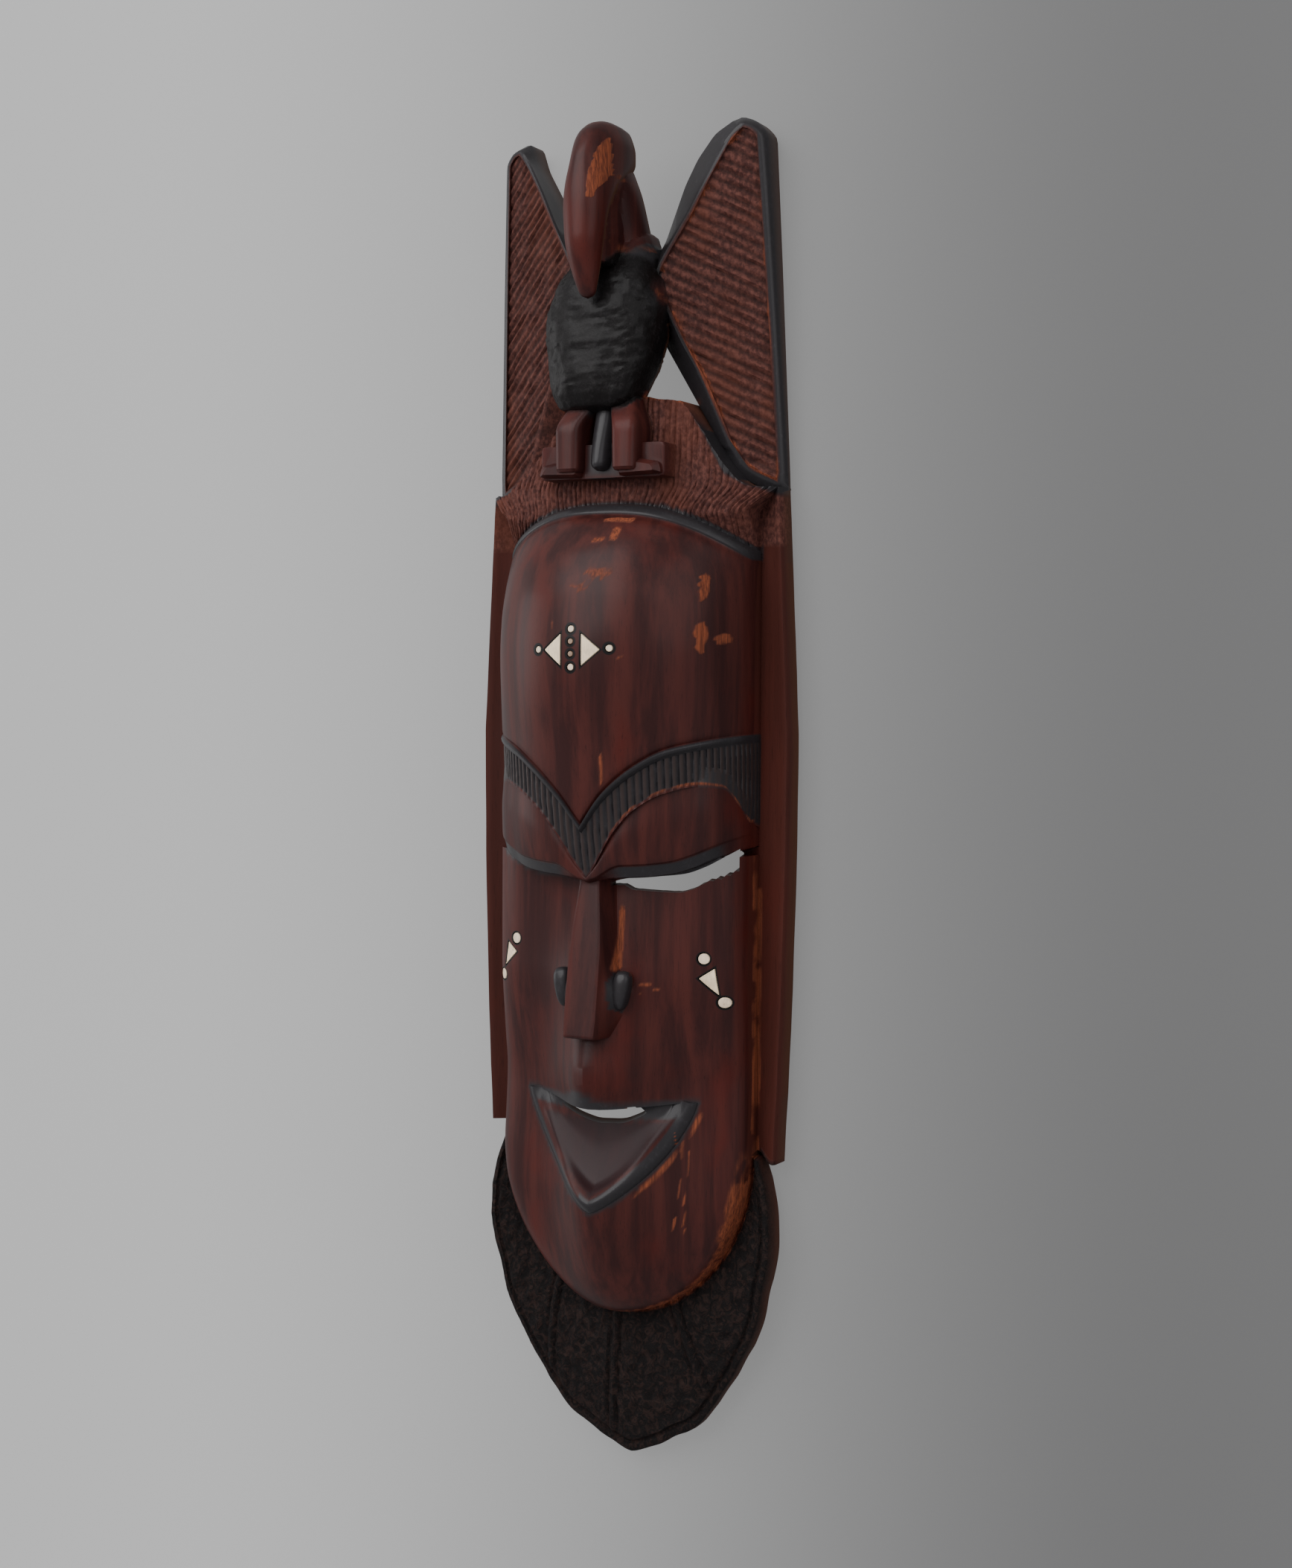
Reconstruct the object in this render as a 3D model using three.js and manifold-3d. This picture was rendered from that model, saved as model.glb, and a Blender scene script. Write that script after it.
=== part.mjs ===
import * as THREE from "three";
import { mergeVertices } from "three/addons/utils/BufferGeometryUtils.js";
import Module from "manifold-3d";

const wasm = await Module();
wasm.setup();

// The mask lies on its back: x across, y towards the top of the head, z out of the face. Sizes in mm.
const chinCentreY = -127;
const faceHalf = 51.5;
const chinReach = 64.6;
const archTopY = 110.5;
const archDrop = 16.5;
const archHalf = 50.4;
const panelInnerZ = 8;
const panelOuterZ = 13;
const backBevel = 4;
const browRimWidth = 3.2;
const hatchTipY = -25.5;
const mouthHalf = 35.8;
const mouthTopY = -108.5;
const mouthDrop = 41.7;
const lipBandWidth = 5.6;
const inlayDeep = 2.4;
const inlayGap = 0.3;
const wingGroovePitch = 4.7;
const hairGroovePitch = 3.5;

const clamp = (t, low = 0, high = 1) => Math.min(high, Math.max(low, t));
const mix = (a, b, t) => a + (b - a) * t;
const ease = (t) => clamp(t) ** 2 * (3 - 2 * clamp(t));
const bump = (t) => Math.max(0, 1 - t * t);

// A smooth curve through a few [place, value] stations.
function along(...stations) {
  const rise = (k) => (stations[k + 1][1] - stations[k][1]) / (stations[k + 1][0] - stations[k][0]);
  const slope = (k) => {
    if (k === 0) return rise(0);
    if (k === stations.length - 1) return rise(k - 1);
    const before = rise(k - 1);
    const after = rise(k);
    return before * after <= 0 ? 0 : (2 * before * after) / (before + after);
  };
  return (place) => {
    const at = clamp(place, stations[0][0], stations[stations.length - 1][0]);
    let k = 0;
    while (k < stations.length - 2 && at > stations[k + 1][0]) k += 1;
    const wide = stations[k + 1][0] - stations[k][0];
    const t = (at - stations[k][0]) / wide;
    const [from, to] = [stations[k][1], stations[k + 1][1]];
    const bend = (slope(k) * wide - (to - from)) * t * (1 - t) ** 2;
    return mix(from, to, ease(t)) + bend + (to - from) * t * (1 - t) ** 2 - (slope(k + 1) * wide) * t * t * (1 - t);
  };
}

function solidFrom(positions, faces) {
  let volume = 0;
  for (const [a, b, c] of faces) {
    const [p, q, r] = [positions[a], positions[b], positions[c]];
    volume += p[0] * (q[1] * r[2] - q[2] * r[1]) + p[1] * (q[2] * r[0] - q[0] * r[2]);
    volume += p[2] * (q[0] * r[1] - q[1] * r[0]);
  }
  const turned = volume < 0 ? faces.map(([a, b, c]) => [a, c, b]) : faces;
  const raw = new THREE.BufferGeometry();
  raw.setAttribute("position", new THREE.BufferAttribute(new Float32Array(positions.flat()), 3));
  raw.setIndex(turned.flat());
  return manifoldOf(raw);
}

function manifoldOf(geometry) {
  const bare = new THREE.BufferGeometry();
  bare.setAttribute("position", geometry.attributes.position);
  if (geometry.index) bare.setIndex(geometry.index);
  const merged = mergeVertices(bare, 1e-4);
  const vertProperties = new Float32Array(merged.attributes.position.array);
  const triVerts = new Uint32Array(merged.index.array);
  return new wasm.Manifold(new wasm.Mesh({ numProp: 3, vertProperties, triVerts }));
}

// A closed block: a sheet of points in front, and the same sheet moved to the floor behind.
function block(rows, cols, point, floor) {
  const front = [];
  const faces = [];
  for (let i = 0; i <= rows; i += 1) {
    for (let j = 0; j <= cols; j += 1) front.push(point(i / rows, j / cols, i, j));
  }
  const behind = front.map(([x, y, z]) => floor(x, y, z));
  const shift = front.length;
  const id = (i, j) => i * (cols + 1) + j;
  for (let i = 0; i < rows; i += 1) {
    for (let j = 0; j < cols; j += 1) {
      const [a, b, c, d] = [id(i, j), id(i, j + 1), id(i + 1, j + 1), id(i + 1, j)];
      faces.push([a, b, c], [a, c, d], [a + shift, c + shift, b + shift], [a + shift, d + shift, c + shift]);
    }
  }
  const rim = [];
  for (let j = 0; j < cols; j += 1) rim.push(id(0, j));
  for (let i = 0; i < rows; i += 1) rim.push(id(i, cols));
  for (let j = cols; j > 0; j -= 1) rim.push(id(rows, j));
  for (let i = rows; i > 0; i -= 1) rim.push(id(i, 0));
  rim.forEach((a, k) => {
    const b = rim[(k + 1) % rim.length];
    faces.push([b, a, a + shift], [b, a + shift, b + shift]);
  });
  return solidFrom([...front, ...behind], faces);
}

// A closed body through rings of equal count, capped at both ends; the caps are laid flat on two axes.
function loft(rings, axes = [0, 1]) {
  const count = rings[0].length;
  const faces = [];
  for (let k = 0; k < rings.length - 1; k += 1) {
    for (let j = 0; j < count; j += 1) {
      const [a, b] = [k * count + j, k * count + ((j + 1) % count)];
      faces.push([a, b, b + count], [a, b + count, a + count]);
    }
  }
  for (const k of [0, rings.length - 1]) {
    const flat = rings[k].map((p) => new THREE.Vector2(p[axes[0]], p[axes[1]]));
    const upright = THREE.ShapeUtils.isClockWise(flat) === (k === 0);
    for (const [a, b, c] of THREE.ShapeUtils.triangulateShape(flat, [])) {
      faces.push(upright ? [a, b, c].map((v) => v + k * count) : [a, c, b].map((v) => v + k * count));
    }
  }
  return solidFrom(rings.flat(), faces);
}

const prism = (outline, low, high) => loft([low, high].map((z) => outline.map(([x, y]) => [x, y, z])));
const mirrored = (outline) => outline.map(([x, ...rest]) => [-x, ...rest]);

// A bar along the mask's length with rounded cross-sections, each given by centre, half width, low and high.
function bar(steps, sides, shape) {
  const rings = [];
  for (let k = 0; k <= steps; k += 1) {
    const { y, x = 0, half, low, high, square = 2, lean = 0 } = shape(k / steps);
    const ring = [];
    for (let j = 0; j < sides; j += 1) {
      const turn = ((j + 0.5) / sides) * 2 * Math.PI;
      const round = (v) => Math.sign(v) * Math.abs(v) ** (2 / square);
      const up = round(Math.sin(turn));
      ring.push([x + half * round(Math.cos(turn)), y + lean * up, mix(low, high, (up + 1) / 2)]);
    }
    rings.push(ring);
  }
  return loft(rings, [0, 2]);
}

const outerHalf = (y) => (y > 27 ? 65 - 0.048 * (y - 27) : 65 - 3.9 * ((27 - y) / 153) ** 2);
const archLine = (x) => archTopY - archDrop * Math.abs(x / archHalf) ** 2.5;
const browLine = along([0, -6], [9, 5.5], [20, 15], [31, 21.5], [40, 24.2], [52, 27]);
const hatchLine = along([0, hatchTipY], [4, -20], [12, -8], [20, 0.5], [30, 6.5], [40, 9], [46, 8], [52, -8]);
const lidLine = along([0, -28.4], [5, -27], [12, -25.9], [20, -25.4], [30, -24.2], [38, -21.5], [45, -18], [52, -14.5]);
const slitLine = along([6, -29], [10, -30.6], [27, -31], [33, -29.7], [38, -27], [44, -25.4], [52, -22]);
const foreheadCrown = along([-40, 44], [-6, 52], [20, 55.5], [57, 59.5], [75, 57.5], [90, 52], [102, 43.5], [110.5, 34]);
const cheekHeight = along([-192, 13], [-150, 16], [-108, 17.5], [-85, 21.5], [-60, 25], [-20, 25]);
const ridgeHeight = along([-192, 3], [-178, 6.5], [-165, 11], [-150, 15], [-127, 15.5], [-110, 18.5], [-101, 21], [-88, 17], [-60, 8], [-30, 3]);
const faceBase = along([-145, 12], [-100, panelInnerZ]);
const noseFront = along([-84, 52.7], [-56, 48.6], [-28, 44.4]);
const noseHalf = along([-84, 6.5], [-76, 6.9], [-56, 6.8], [-28, 4.3]);
const noseBase = along([-84, 7.2], [-76, 12], [-68, 16.3], [-61, 10.5], [-56, 8.4], [-28, 6]);

function foreheadZ(x, y) {
  const lift = (archTopY - archLine(x)) * ease((y - 40) / 50);
  return panelInnerZ + (foreheadCrown(y + lift) - panelInnerZ) * Math.sqrt(bump(Math.min(x / faceHalf, 0.999)));
}

const faceReach = (x, y) => Math.hypot(x / faceHalf, Math.max(0, chinCentreY - y) / chinReach);
const chinLift = (x, y) => 4.5 * ease((-150 - y) / 35) * Math.exp(-((x / 24) ** 2));

function cheekZ(x, y) {
  const edge = (1 - Math.min(faceReach(x, y), 0.9995) ** 4) ** 0.25;
  const ridge = ridgeHeight(y) * Math.exp(-((x / 19) ** 2)) * edge;
  return faceBase(y) + chinLift(x, y) + cheekHeight(y) * edge + ridge;
}

// The two shields beside the face and the plate behind everything, bevelled at the back.
function panels() {
  const lowEnd = (x) => (x > 0 ? -127.5 - 4 * ease((x - 52) / 10) : -126);
  return block(8, 9, (v, u, i, j) => {
    const y = mix(116, lowEnd((j - 4.5) * 14), v);
    const wide = outerHalf(y);
    const place = [wide, wide - 0.3, wide - 1.2, faceHalf - 0.6, 20][j < 5 ? j : 9 - j];
    const height = [backBevel, panelOuterZ - 1.5, panelOuterZ, panelInnerZ, panelInnerZ][j < 5 ? j : 9 - j];
    return [j < 5 ? -place : place, y, height];
  }, (x, y) => [x * (1 - 3 / 65), y, 0]);
}

function forehead() {
  const cols = 22;
  const strips = [0.15, 1.6, 3.6, 4.4, 12, 26, 42, 60];
  const rows = strips.length + 7;
  return block(rows, cols, (v, u, i) => {
    const x = faceHalf * Math.sin((u - 0.5) * 3.1);
    const top = archLine(x);
    const rim = browLine(Math.abs(x));
    const low = hatchLine(Math.abs(x));
    const raised = [-3, 0.9, 0.3, -0.4, 0, 0, 0, 0, 0, 0, -0.9, 0.9, -0.4, -0.8, -1.1, -1.1][i];
    if (i < strips.length) {
      const y = top - strips[i] * mix(1, (top - rim) / 105, ease(strips[i] / 60));
      return [x, y, Math.max(4, foreheadZ(x, y) + raised * (i === 0 ? 1 : 1))];
    }
    const step = i - strips.length;
    const places = [mix(top - 60, rim, 0.55), rim + 1.3, rim, rim - 1.6, rim - browRimWidth, mix(rim, low, 0.6), low + 0.4, low];
    const y = Math.max(places[step], step > 4 ? low : -60);
    return [x, y, Math.max(6, foreheadZ(x, y) + raised)];
  }, (x, y) => [x, y, 1]);
}

function lids() {
  const cols = 22;
  return block(7, cols, (v, u, i) => {
    const x = (faceHalf - 0.4) * Math.sin((u - 0.5) * 3.08);
    const wide = Math.abs(x);
    const top = hatchLine(Math.min(wide, 50));
    const low = lidLine(wide);
    const crease = Math.max(low + 0.9, Math.min(top - 0.6, low + 4.4 * ease(wide / 14)));
    const y = [top + 6, top, mix(top, crease + 0.9, 0.5), crease + 0.9, crease, low + 0.4, low, low + 0.4][i];
    const down = [3.2, 2.2, 0.4, 0.2, 1.1, 2.4, 3.4, 9][i];
    return [x, y, Math.max(5, foreheadZ(x, y) + 2.2 * ease((wide - 34) / 10) - down)];
  }, (x, y) => [x, y, 1]);
}

function cheeks() {
  return block(18, 20, (v, u) => {
    const turn = (u - 0.5) * 3.12;
    const y = v < 0.6 ? mix(-18, chinCentreY, v / 0.6) : chinCentreY - chinReach * Math.sin(((v - 0.6) / 0.4) * 1.5);
    const half = faceHalf * Math.sqrt(1 - (Math.max(0, chinCentreY - y) / chinReach) ** 2);
    const x = half * Math.sign(turn) * Math.abs(Math.sin(turn)) ** 0.72;
    return [x, y, cheekZ(x, y)];
  }, (x, y) => [x, y, 1]);
}

function nose() {
  const steps = 12;
  const rings = [];
  for (let k = 0; k <= steps; k += 1) {
    const y = mix(-84, -27, (k / steps) ** 1.25);
    const [front, half, base] = [noseFront(y), noseHalf(y), noseBase(y)];
    const foot = cheekZ(base, y);
    const tip = k === 0 ? 0.8 : 0;
    const ring = [[-base - 1.5, foot - 4], [-half, front - 0.7 - tip], [-half + 1.2, front - tip]];
    rings.push([...ring, ...mirrored(ring).reverse()].map(([x, z]) => [x, y, z]));
  }
  return loft(rings, [0, 2]);
}

// The black swellings at both sides of the nose.
function nostrils() {
  const swell = new THREE.SphereGeometry(1, 10, 6);
  swell.scale(3.6, 7.4, 3.4);
  const right = swell.clone().rotateZ(0.12).translate(12.1, -67, 41.2);
  const left = swell.clone().rotateZ(-0.12).translate(-12.1, -67, 41.2);
  return manifoldOf(right).add(manifoldOf(left));
}

// A point of the mouth's V, from its left corner (0) to its right (1), on a line scaled by half width and depth.
function mouthPoint(u, half, drop, topY) {
  const turn = Math.PI * (1 - u);
  const round = (v) => Math.sign(v) * Math.abs(v) ** 1.5;
  return [half * round(Math.cos(turn)), topY - drop * Math.abs(round(Math.sin(turn)))];
}

const basinZ = along([-150, 42.4], [-144, 40.6], [-132, 36.5], [-118, 32.5], [-109, 30]);

function mouthOutline(grow) {
  const outline = [];
  for (let k = 0; k <= 24; k += 1) outline.push(mouthPoint(k / 24, mouthHalf + grow, mouthDrop + grow, mouthTopY));
  for (const x of [22, 10, 0, -10, -22]) outline.push([x, mouthTopY - 2.6 * bump(x / 33)]);
  return outline;
}

function lips() {
  const band = lipBandWidth;
  const rings = [[0.4, -1.2], [-0.6, 0.6], [-band * 0.5, 1.5], [-band, 0.4], [-band - 3, -1], [-18, -1.5], [-30, -1]];
  return block(rings.length - 1, 24, (v, u, i) => {
    const [grow, raise] = rings[i];
    const corner = clamp(1 - Math.abs(u - 0.5) * 2, 0, 1);
    const depth = Math.max(0.6, mouthDrop + grow * 1.25);
    const [x, y] = mouthPoint(u, mouthHalf + grow * (i > 4 ? 0.4 : 1), depth, mouthTopY + (i > 2 ? 0.6 : 0));
    const inside = ease((i - 2) / 2);
    const hollow = mix(cheekZ(x, y), basinZ(y), ease(corner * 2.2));
    const z = i < 3 ? cheekZ(x, y) + raise : mix(cheekZ(x, y), hollow, inside) + raise;
    return [x, i === rings.length - 1 ? y + 3 : y, z];
  }, (x, y) => [x, y, 14]);
}

const beardReach = along(
  [0, 1.904], [10, 1.815], [17.4, 1.77], [25, 1.673], [35.6, 1.551],
  [44.4, 1.472], [52.5, 1.372], [61, 1.311], [72.8, 1.2], [88, 1.04]);
const beardInnerZ = along([0, 16.5], [25, 14.5], [50, 12], [90, 10.5]);
const beardOuterZ = along([0, 9], [25, 10.5], [45, 13], [66, 15.5], [88, 13]);

function beardPoint(angle, reach, lift = 0) {
  const wide = Math.abs(angle);
  const edge = beardReach(wide);
  const turn = (angle / 180) * Math.PI;
  const share = clamp((reach - 1) / (edge - 1));
  const x = faceHalf * reach * Math.sin(turn);
  const y = chinCentreY - chinReach * reach * Math.cos(turn);
  return [x, y, mix(beardInnerZ(wide), beardOuterZ(wide), share) + 1.5 * bump(share * 2 - 1) + lift];
}

function beard() {
  const cols = 26;
  return block(6, cols, (v, u, i) => {
    const angle = (u - 0.5) * 175.3;
    const edge = beardReach(Math.abs(angle));
    const line = 4 / 60;
    const reach = [edge, edge - 0.005, edge - line, edge - line * 1.4, mix(1, edge, 0.45), 1, 0.8][i];
    const point = beardPoint(angle, Math.max(reach, i < 5 ? 1.005 : 0.8), [0, -0.4, -0.9, 0.2, 0.3, -0.8, -2][i]);
    return i === 0 ? [point[0], point[1], backBevel + 1] : point;
  }, (x, y) => [x * 0.955, chinCentreY + (y - chinCentreY) * 0.97, 0]);
}

function beardRibs() {
  const ribs = [[-33, 1.06, -24, 1.62], [-3, 1.03, -5, 1.83], [25, 1.03, 25, 1.5]];
  let all = null;
  for (const [fromAngle, fromReach, toAngle, toReach] of ribs) {
    const rib = block(4, 3, (v, u, i, j) => {
      const angle = mix(fromAngle, toAngle, v) - 2 * Math.sin(v * 3);
      const point = beardPoint(angle, mix(fromReach, toReach, v), [-0.8, 0.9, 0.9, -0.8][j]);
      return [point[0] + [-1.7, -1, 1, 1.7][j], point[1], point[2]];
    }, (x, y, z) => [x, y, z - 3]);
    all = all ? all.add(rib) : rib;
  }
  return all;
}

// The carved hair between the arch of the forehead, the bird's ledge and the wings.
const hairZ = (x, y) => 9 + 22 * Math.sqrt(bump(Math.min(Math.abs(x) / 61, 0.98))) - 0.1 * (y - 112);

// Its ridges run up and down, and open out slightly towards the top.
function hair() {
  const ridges = Math.round(112 / hairGroovePitch);
  return block(3, ridges * 2, (v, u, i, j) => {
    const x = 118 * (u - 0.5);
    const low = Math.min(archLine(Math.min(Math.abs(x), archHalf)) - 3, 108);
    const high = 150 - 34 * ease((Math.abs(x) - 20) / 32);
    const y = mix(low, high, v);
    return [x * (0.96 + 0.06 * v), y, hairZ(x, y) - (j % 2 ? 1.1 : 0)];
  }, (x, y) => [x, y, 0]);
}

const wingZ = (x, y) => 15.5 + 0.044 * (y - 242) + 0.34 * (54 - Math.abs(x));

// The wing's edge as seen from the front, and the raised rim round its field, from the peak outwards.
const wingOuter = [
  [44, 249.8], [50, 247.6], [54.3, 243], [56.9, 195], [60.5, 122], [60.8, 113.5], [50, 117], [43, 121],
  [36, 134], [25, 152], [14, 170], [8, 186], [9, 200], [14, 207], [22, 227], [27, 236], [34, 244.5]];
const wingRim = [
  [46, 246.3], [50, 245.2], [53, 242], [55.6, 195], [59.2, 122], [58.6, 116.5], [51, 120], [46, 123.5],
  [41, 131], [32.4, 153.6], [24.6, 168.5], [18, 184], [15, 192], [17.5, 198], [28, 216], [34.5, 229], [41, 240.5]];

// The outline moved inwards, for points listed clockwise.
function inset(outline, distance) {
  return outline.map((point, k) => {
    const before = outline[(k + outline.length - 1) % outline.length];
    const after = outline[(k + 1) % outline.length];
    const lead = new THREE.Vector2(point[0] - before[0], point[1] - before[1]).normalize();
    const tail = new THREE.Vector2(after[0] - point[0], after[1] - point[1]).normalize();
    const way = lead.add(tail);
    const reach = (distance * 2) / Math.max(0.3, way.lengthSq());
    return [point[0] + way.y * reach, point[1] - way.x * reach];
  });
}

function wing(side) {
  const steepInside = side < 0;
  const outer = wingOuter.map((point, k) => (steepInside && k > 11 ? wingRim[k] : point));
  const flip = (outline) => (side < 0 ? mirrored(outline) : outline);
  const edgeZ = ([x, y], k) => Math.min(wingZ(x, y) - 1.5, k > 7 ? 14 : 13);
  const body = loft([
    inset(outer, 2).map(([x, y]) => [x, y, 0]),
    outer.map(([x, y]) => [x, y, backBevel]),
    outer.map(([x, y], k) => [x, y, edgeZ([x, y], k)]),
    inset(wingRim, -0.4).map(([x, y]) => [x, y, wingZ(x, y)]),
  ].map(flip));
  const field = flip(inset(wingRim, 1.5));
  const region = loft([2, 40].map((z) => field.map(([x, y]) => [x, y, z])));
  const steep = steepInside ? 0.95 : 0.5;
  const rise = wingGroovePitch * Math.hypot(1, steep);
  const feathers = Math.ceil((132 + steep * 56) / rise);
  const ridged = block(feathers * 3, 1, (v, u, i) => {
    const place = [0, 0.4, 0.72][i % 3] + Math.floor(i / 3);
    const y = 112 + place * rise - steep * 56 * u;
    const x = mix(6, 62, u);
    return [side * x, y, wingZ(x, y) - [0.9, 0.9, 2.1][i % 3]];
  }, (x, y, z) => [x, y, z + 40]);
  return body.subtract(ridged.intersect(region));
}

// The bird: breast, hooked head, legs, tail and the ledge it stands on.
function bird() {
  const breastHalf = along([0, 15.5], [0.12, 21], [0.35, 24.5], [0.55, 24], [0.8, 17], [1, 10]);
  const breastHigh = along([0, 35], [0.12, 39.5], [0.4, 38.5], [0.7, 35], [1, 27]);
  const breastLow = along([0, 12], [0.4, 9], [1, 4]);
  const breast = bar(8, 12, (t) => ({
    y: mix(147.5, 212, t), half: breastHalf(t), low: breastLow(t), high: breastHigh(t), square: 2.5 }));
  const headHalf = along([0, 3], [0.15, 6.2], [0.35, 8.6], [0.6, 10], [0.85, 9.5], [0.95, 7], [1, 3.5]);
  const headHigh = along([0, 49], [0.12, 54], [0.33, 59.5], [0.5, 59], [0.75, 55.5], [0.9, 50], [1, 41]);
  const headLow = along([0, 46], [0.15, 45], [0.45, 42], [0.62, 34], [0.8, 18], [0.95, 20], [1, 28]);
  const beak = bar(11, 12, (t) => ({ y: mix(183, 249.5, t), half: headHalf(t), low: headLow(t), high: headHigh(t), square: 2.2 }));
  const neckHalf = along([0, 13], [0.3, 10.5], [0.7, 9], [1, 6]);
  const neck = bar(5, 12, (t) => ({
    y: mix(198, 234, t), half: neckHalf(t), low: mix(5, 19, t), high: mix(30, 46, t), square: 2.4 }));
  const web = bar(4, 8, (t) => ({ y: mix(194.5, 229, t), half: mix(4.2, 7.2, t), low: 22, high: mix(50, 52, t), square: 2.2 }));
  const tailShape = along([0, 3], [0.15, 4.6], [0.6, 4.9], [1, 4.4]);
  const tail = bar(5, 8, (t) => ({ y: mix(121.5, 152, t), half: tailShape(t), low: 22, high: mix(42, 38.5, t), square: 2.2 }));
  const leg = (x, lean) => bar(3, 6, (t) => ({
    y: mix(121, 153, t), x: x + lean * t, half: mix(4.4, 5.8, t), low: 20, high: mix(42.5, 40.5, t), square: 2.2 }));
  const ledge = loft([
    [[-25.5, 119], [25.5, 119], [25.5, 132], [-25.5, 132]].map(([x, y]) => [x, y, 8]),
    [[-25.5, 119.5], [25.5, 119.5], [25.5, 131], [-25.5, 131]].map(([x, y]) => [x, y, 36.5]),
  ]);
  const foot = (side) => loft([
    [[8, 119.6], [8, 127], [24, 124.5], [25, 120]].map(([x, y]) => [side * x, y, 30]),
    [[9, 120.4], [10, 125], [20, 123.5], [22, 120.8]].map(([x, y]) => [side * x, y, 40]),
  ]);
  return breast.add(beak).add(neck).add(web).add(tail).add(leg(-12.5, 0.5)).add(leg(11.5, 0.5)).add(ledge)
    .add(foot(1)).add(foot(-1));
}

// The hollow behind the face.
function hollow() {
  const high = along([-152, 10], [-140, 20], [-110, 24], [-60, 26], [-20, 30], [20, 42], [60, 46], [85, 38], [100, 12]);
  const half = along([-152, 14], [-140, 32], [-110, 42], [-60, 44.5], [30, 44.5], [75, 42], [100, 20]);
  return block(11, 12, (v, u) => {
    const y = mix(-152, 100, clamp(0.5 - 0.5 * Math.cos(Math.PI * mix(0.04, 0.96, v)) * 1.008));
    const turn = (u - 0.5) * 3.0;
    const t = Math.sign(turn) * Math.abs(Math.sin(turn)) ** 0.85;
    return [half(y) * t, y, Math.max(2, high(y) * (1 - Math.min(Math.abs(t), 0.995) ** 3.2) ** 0.32)];
  }, (x, y) => [x, y, -2]);
}

function eyeSlit() {
  const top = [];
  const low = [];
  for (const x of [1, 6, 12, 20, 30, 38, 44, 50.5]) {
    top.push([x, lidLine(x) + 0.1]);
    low.unshift([x, slitLine(x)]);
  }
  const outline = [...top, ...low];
  const slant = 0.34;
  return loft([6, 60].map((z) => outline.map(([x, y]) => [x + slant * (z - 24), y, z])));
}

function mouthGap() {
  const outline = [];
  for (let k = 0; k <= 10; k += 1) outline.push([mix(-17.5, 17.5, k / 10), -118.4 + 5.2 * Math.abs(k / 5 - 1) ** 2.2]);
  for (const x of [12, 0, -12]) outline.push([x, mouthTopY - 2.6 * bump(x / 33) + 0.6]);
  return prism(outline, -1, 38);
}

function sideHole(side) {
  const outline = [[12.5, 169], [22, 155], [27.5, 147], [17, 148.5], [5.5, 150.5], [6.5, 161]].map(([x, y]) => [side * x, y]);
  return prism(outline, -1, 60);
}

// One bone inlay as an outline on the face: a dot, or a triangle listed clockwise.
const dotSides = 8;
const ring = (k) => (k / dotSides) * -2 * Math.PI;
const dot = (x, y, r) => Array.from({ length: dotSides }, (_, k) => [x + r * Math.cos(ring(k)), y + r * Math.sin(ring(k))]);
const diamondHalf = [[4.2, 62.2], [11.2, 56.5], [4.2, 50.8]];
const inlays = {
  inlay_forehead_triangle_right: [1, diamondHalf],
  inlay_forehead_triangle_left: [-1, diamondHalf],
  inlay_forehead_dot_right: [1, dot(14.6, 57, 1.2)],
  inlay_forehead_dot_left: [-1, dot(14.2, 56.6, 1.2)],
  inlay_forehead_dot_top: [1, dot(0, 63.9, 1.2)],
  inlay_forehead_dot_bottom: [1, dot(0, 50.3, 1.2)],
  inlay_forehead_pin_top: [1, dot(0, 59.5, 1)],
  inlay_forehead_pin_bottom: [1, dot(0, 55, 1)],
  inlay_cheek_dot_top_right: [1, dot(39.8, -54.8, 2)],
  inlay_cheek_triangle_right: [1, [[38, -62], [43.4, -58.3], [44.7, -68]]],
  inlay_cheek_dot_low_right: [1, dot(46.3, -70.8, 2)],
  inlay_cheek_dot_top_left: [-1, dot(38.8, -51.8, 2)],
  inlay_cheek_triangle_left: [-1, [[38.8, -57], [43.2, -53.6], [45, -62.5]]],
  inlay_cheek_dot_low_left: [-1, dot(46.9, -66.4, 2)],
};

function tile([side, outline], grow, low, high) {
  const surface = outline[0][1] > 0 ? foreheadZ : cheekZ;
  const grown = inset(outline, -grow);
  return loft([low, high].map((off) => grown.map(([x, y], k) => [side * x, y, surface(...outline[k]) + off])));
}

const wood = new THREE.MeshStandardMaterial({ name: "hardwood", color: 0x4a2a26, roughness: 0.4 });
const bone = new THREE.MeshStandardMaterial({ name: "bone", color: 0xd8c3a5, roughness: 0.5 });
const group = new THREE.Group();
group.name = "tribal_mask";

// The unions leave a few slivers thinner than this, in mm: each is flipped into its neighbour or its short side closed.
const thinnest = 0.003;

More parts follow.
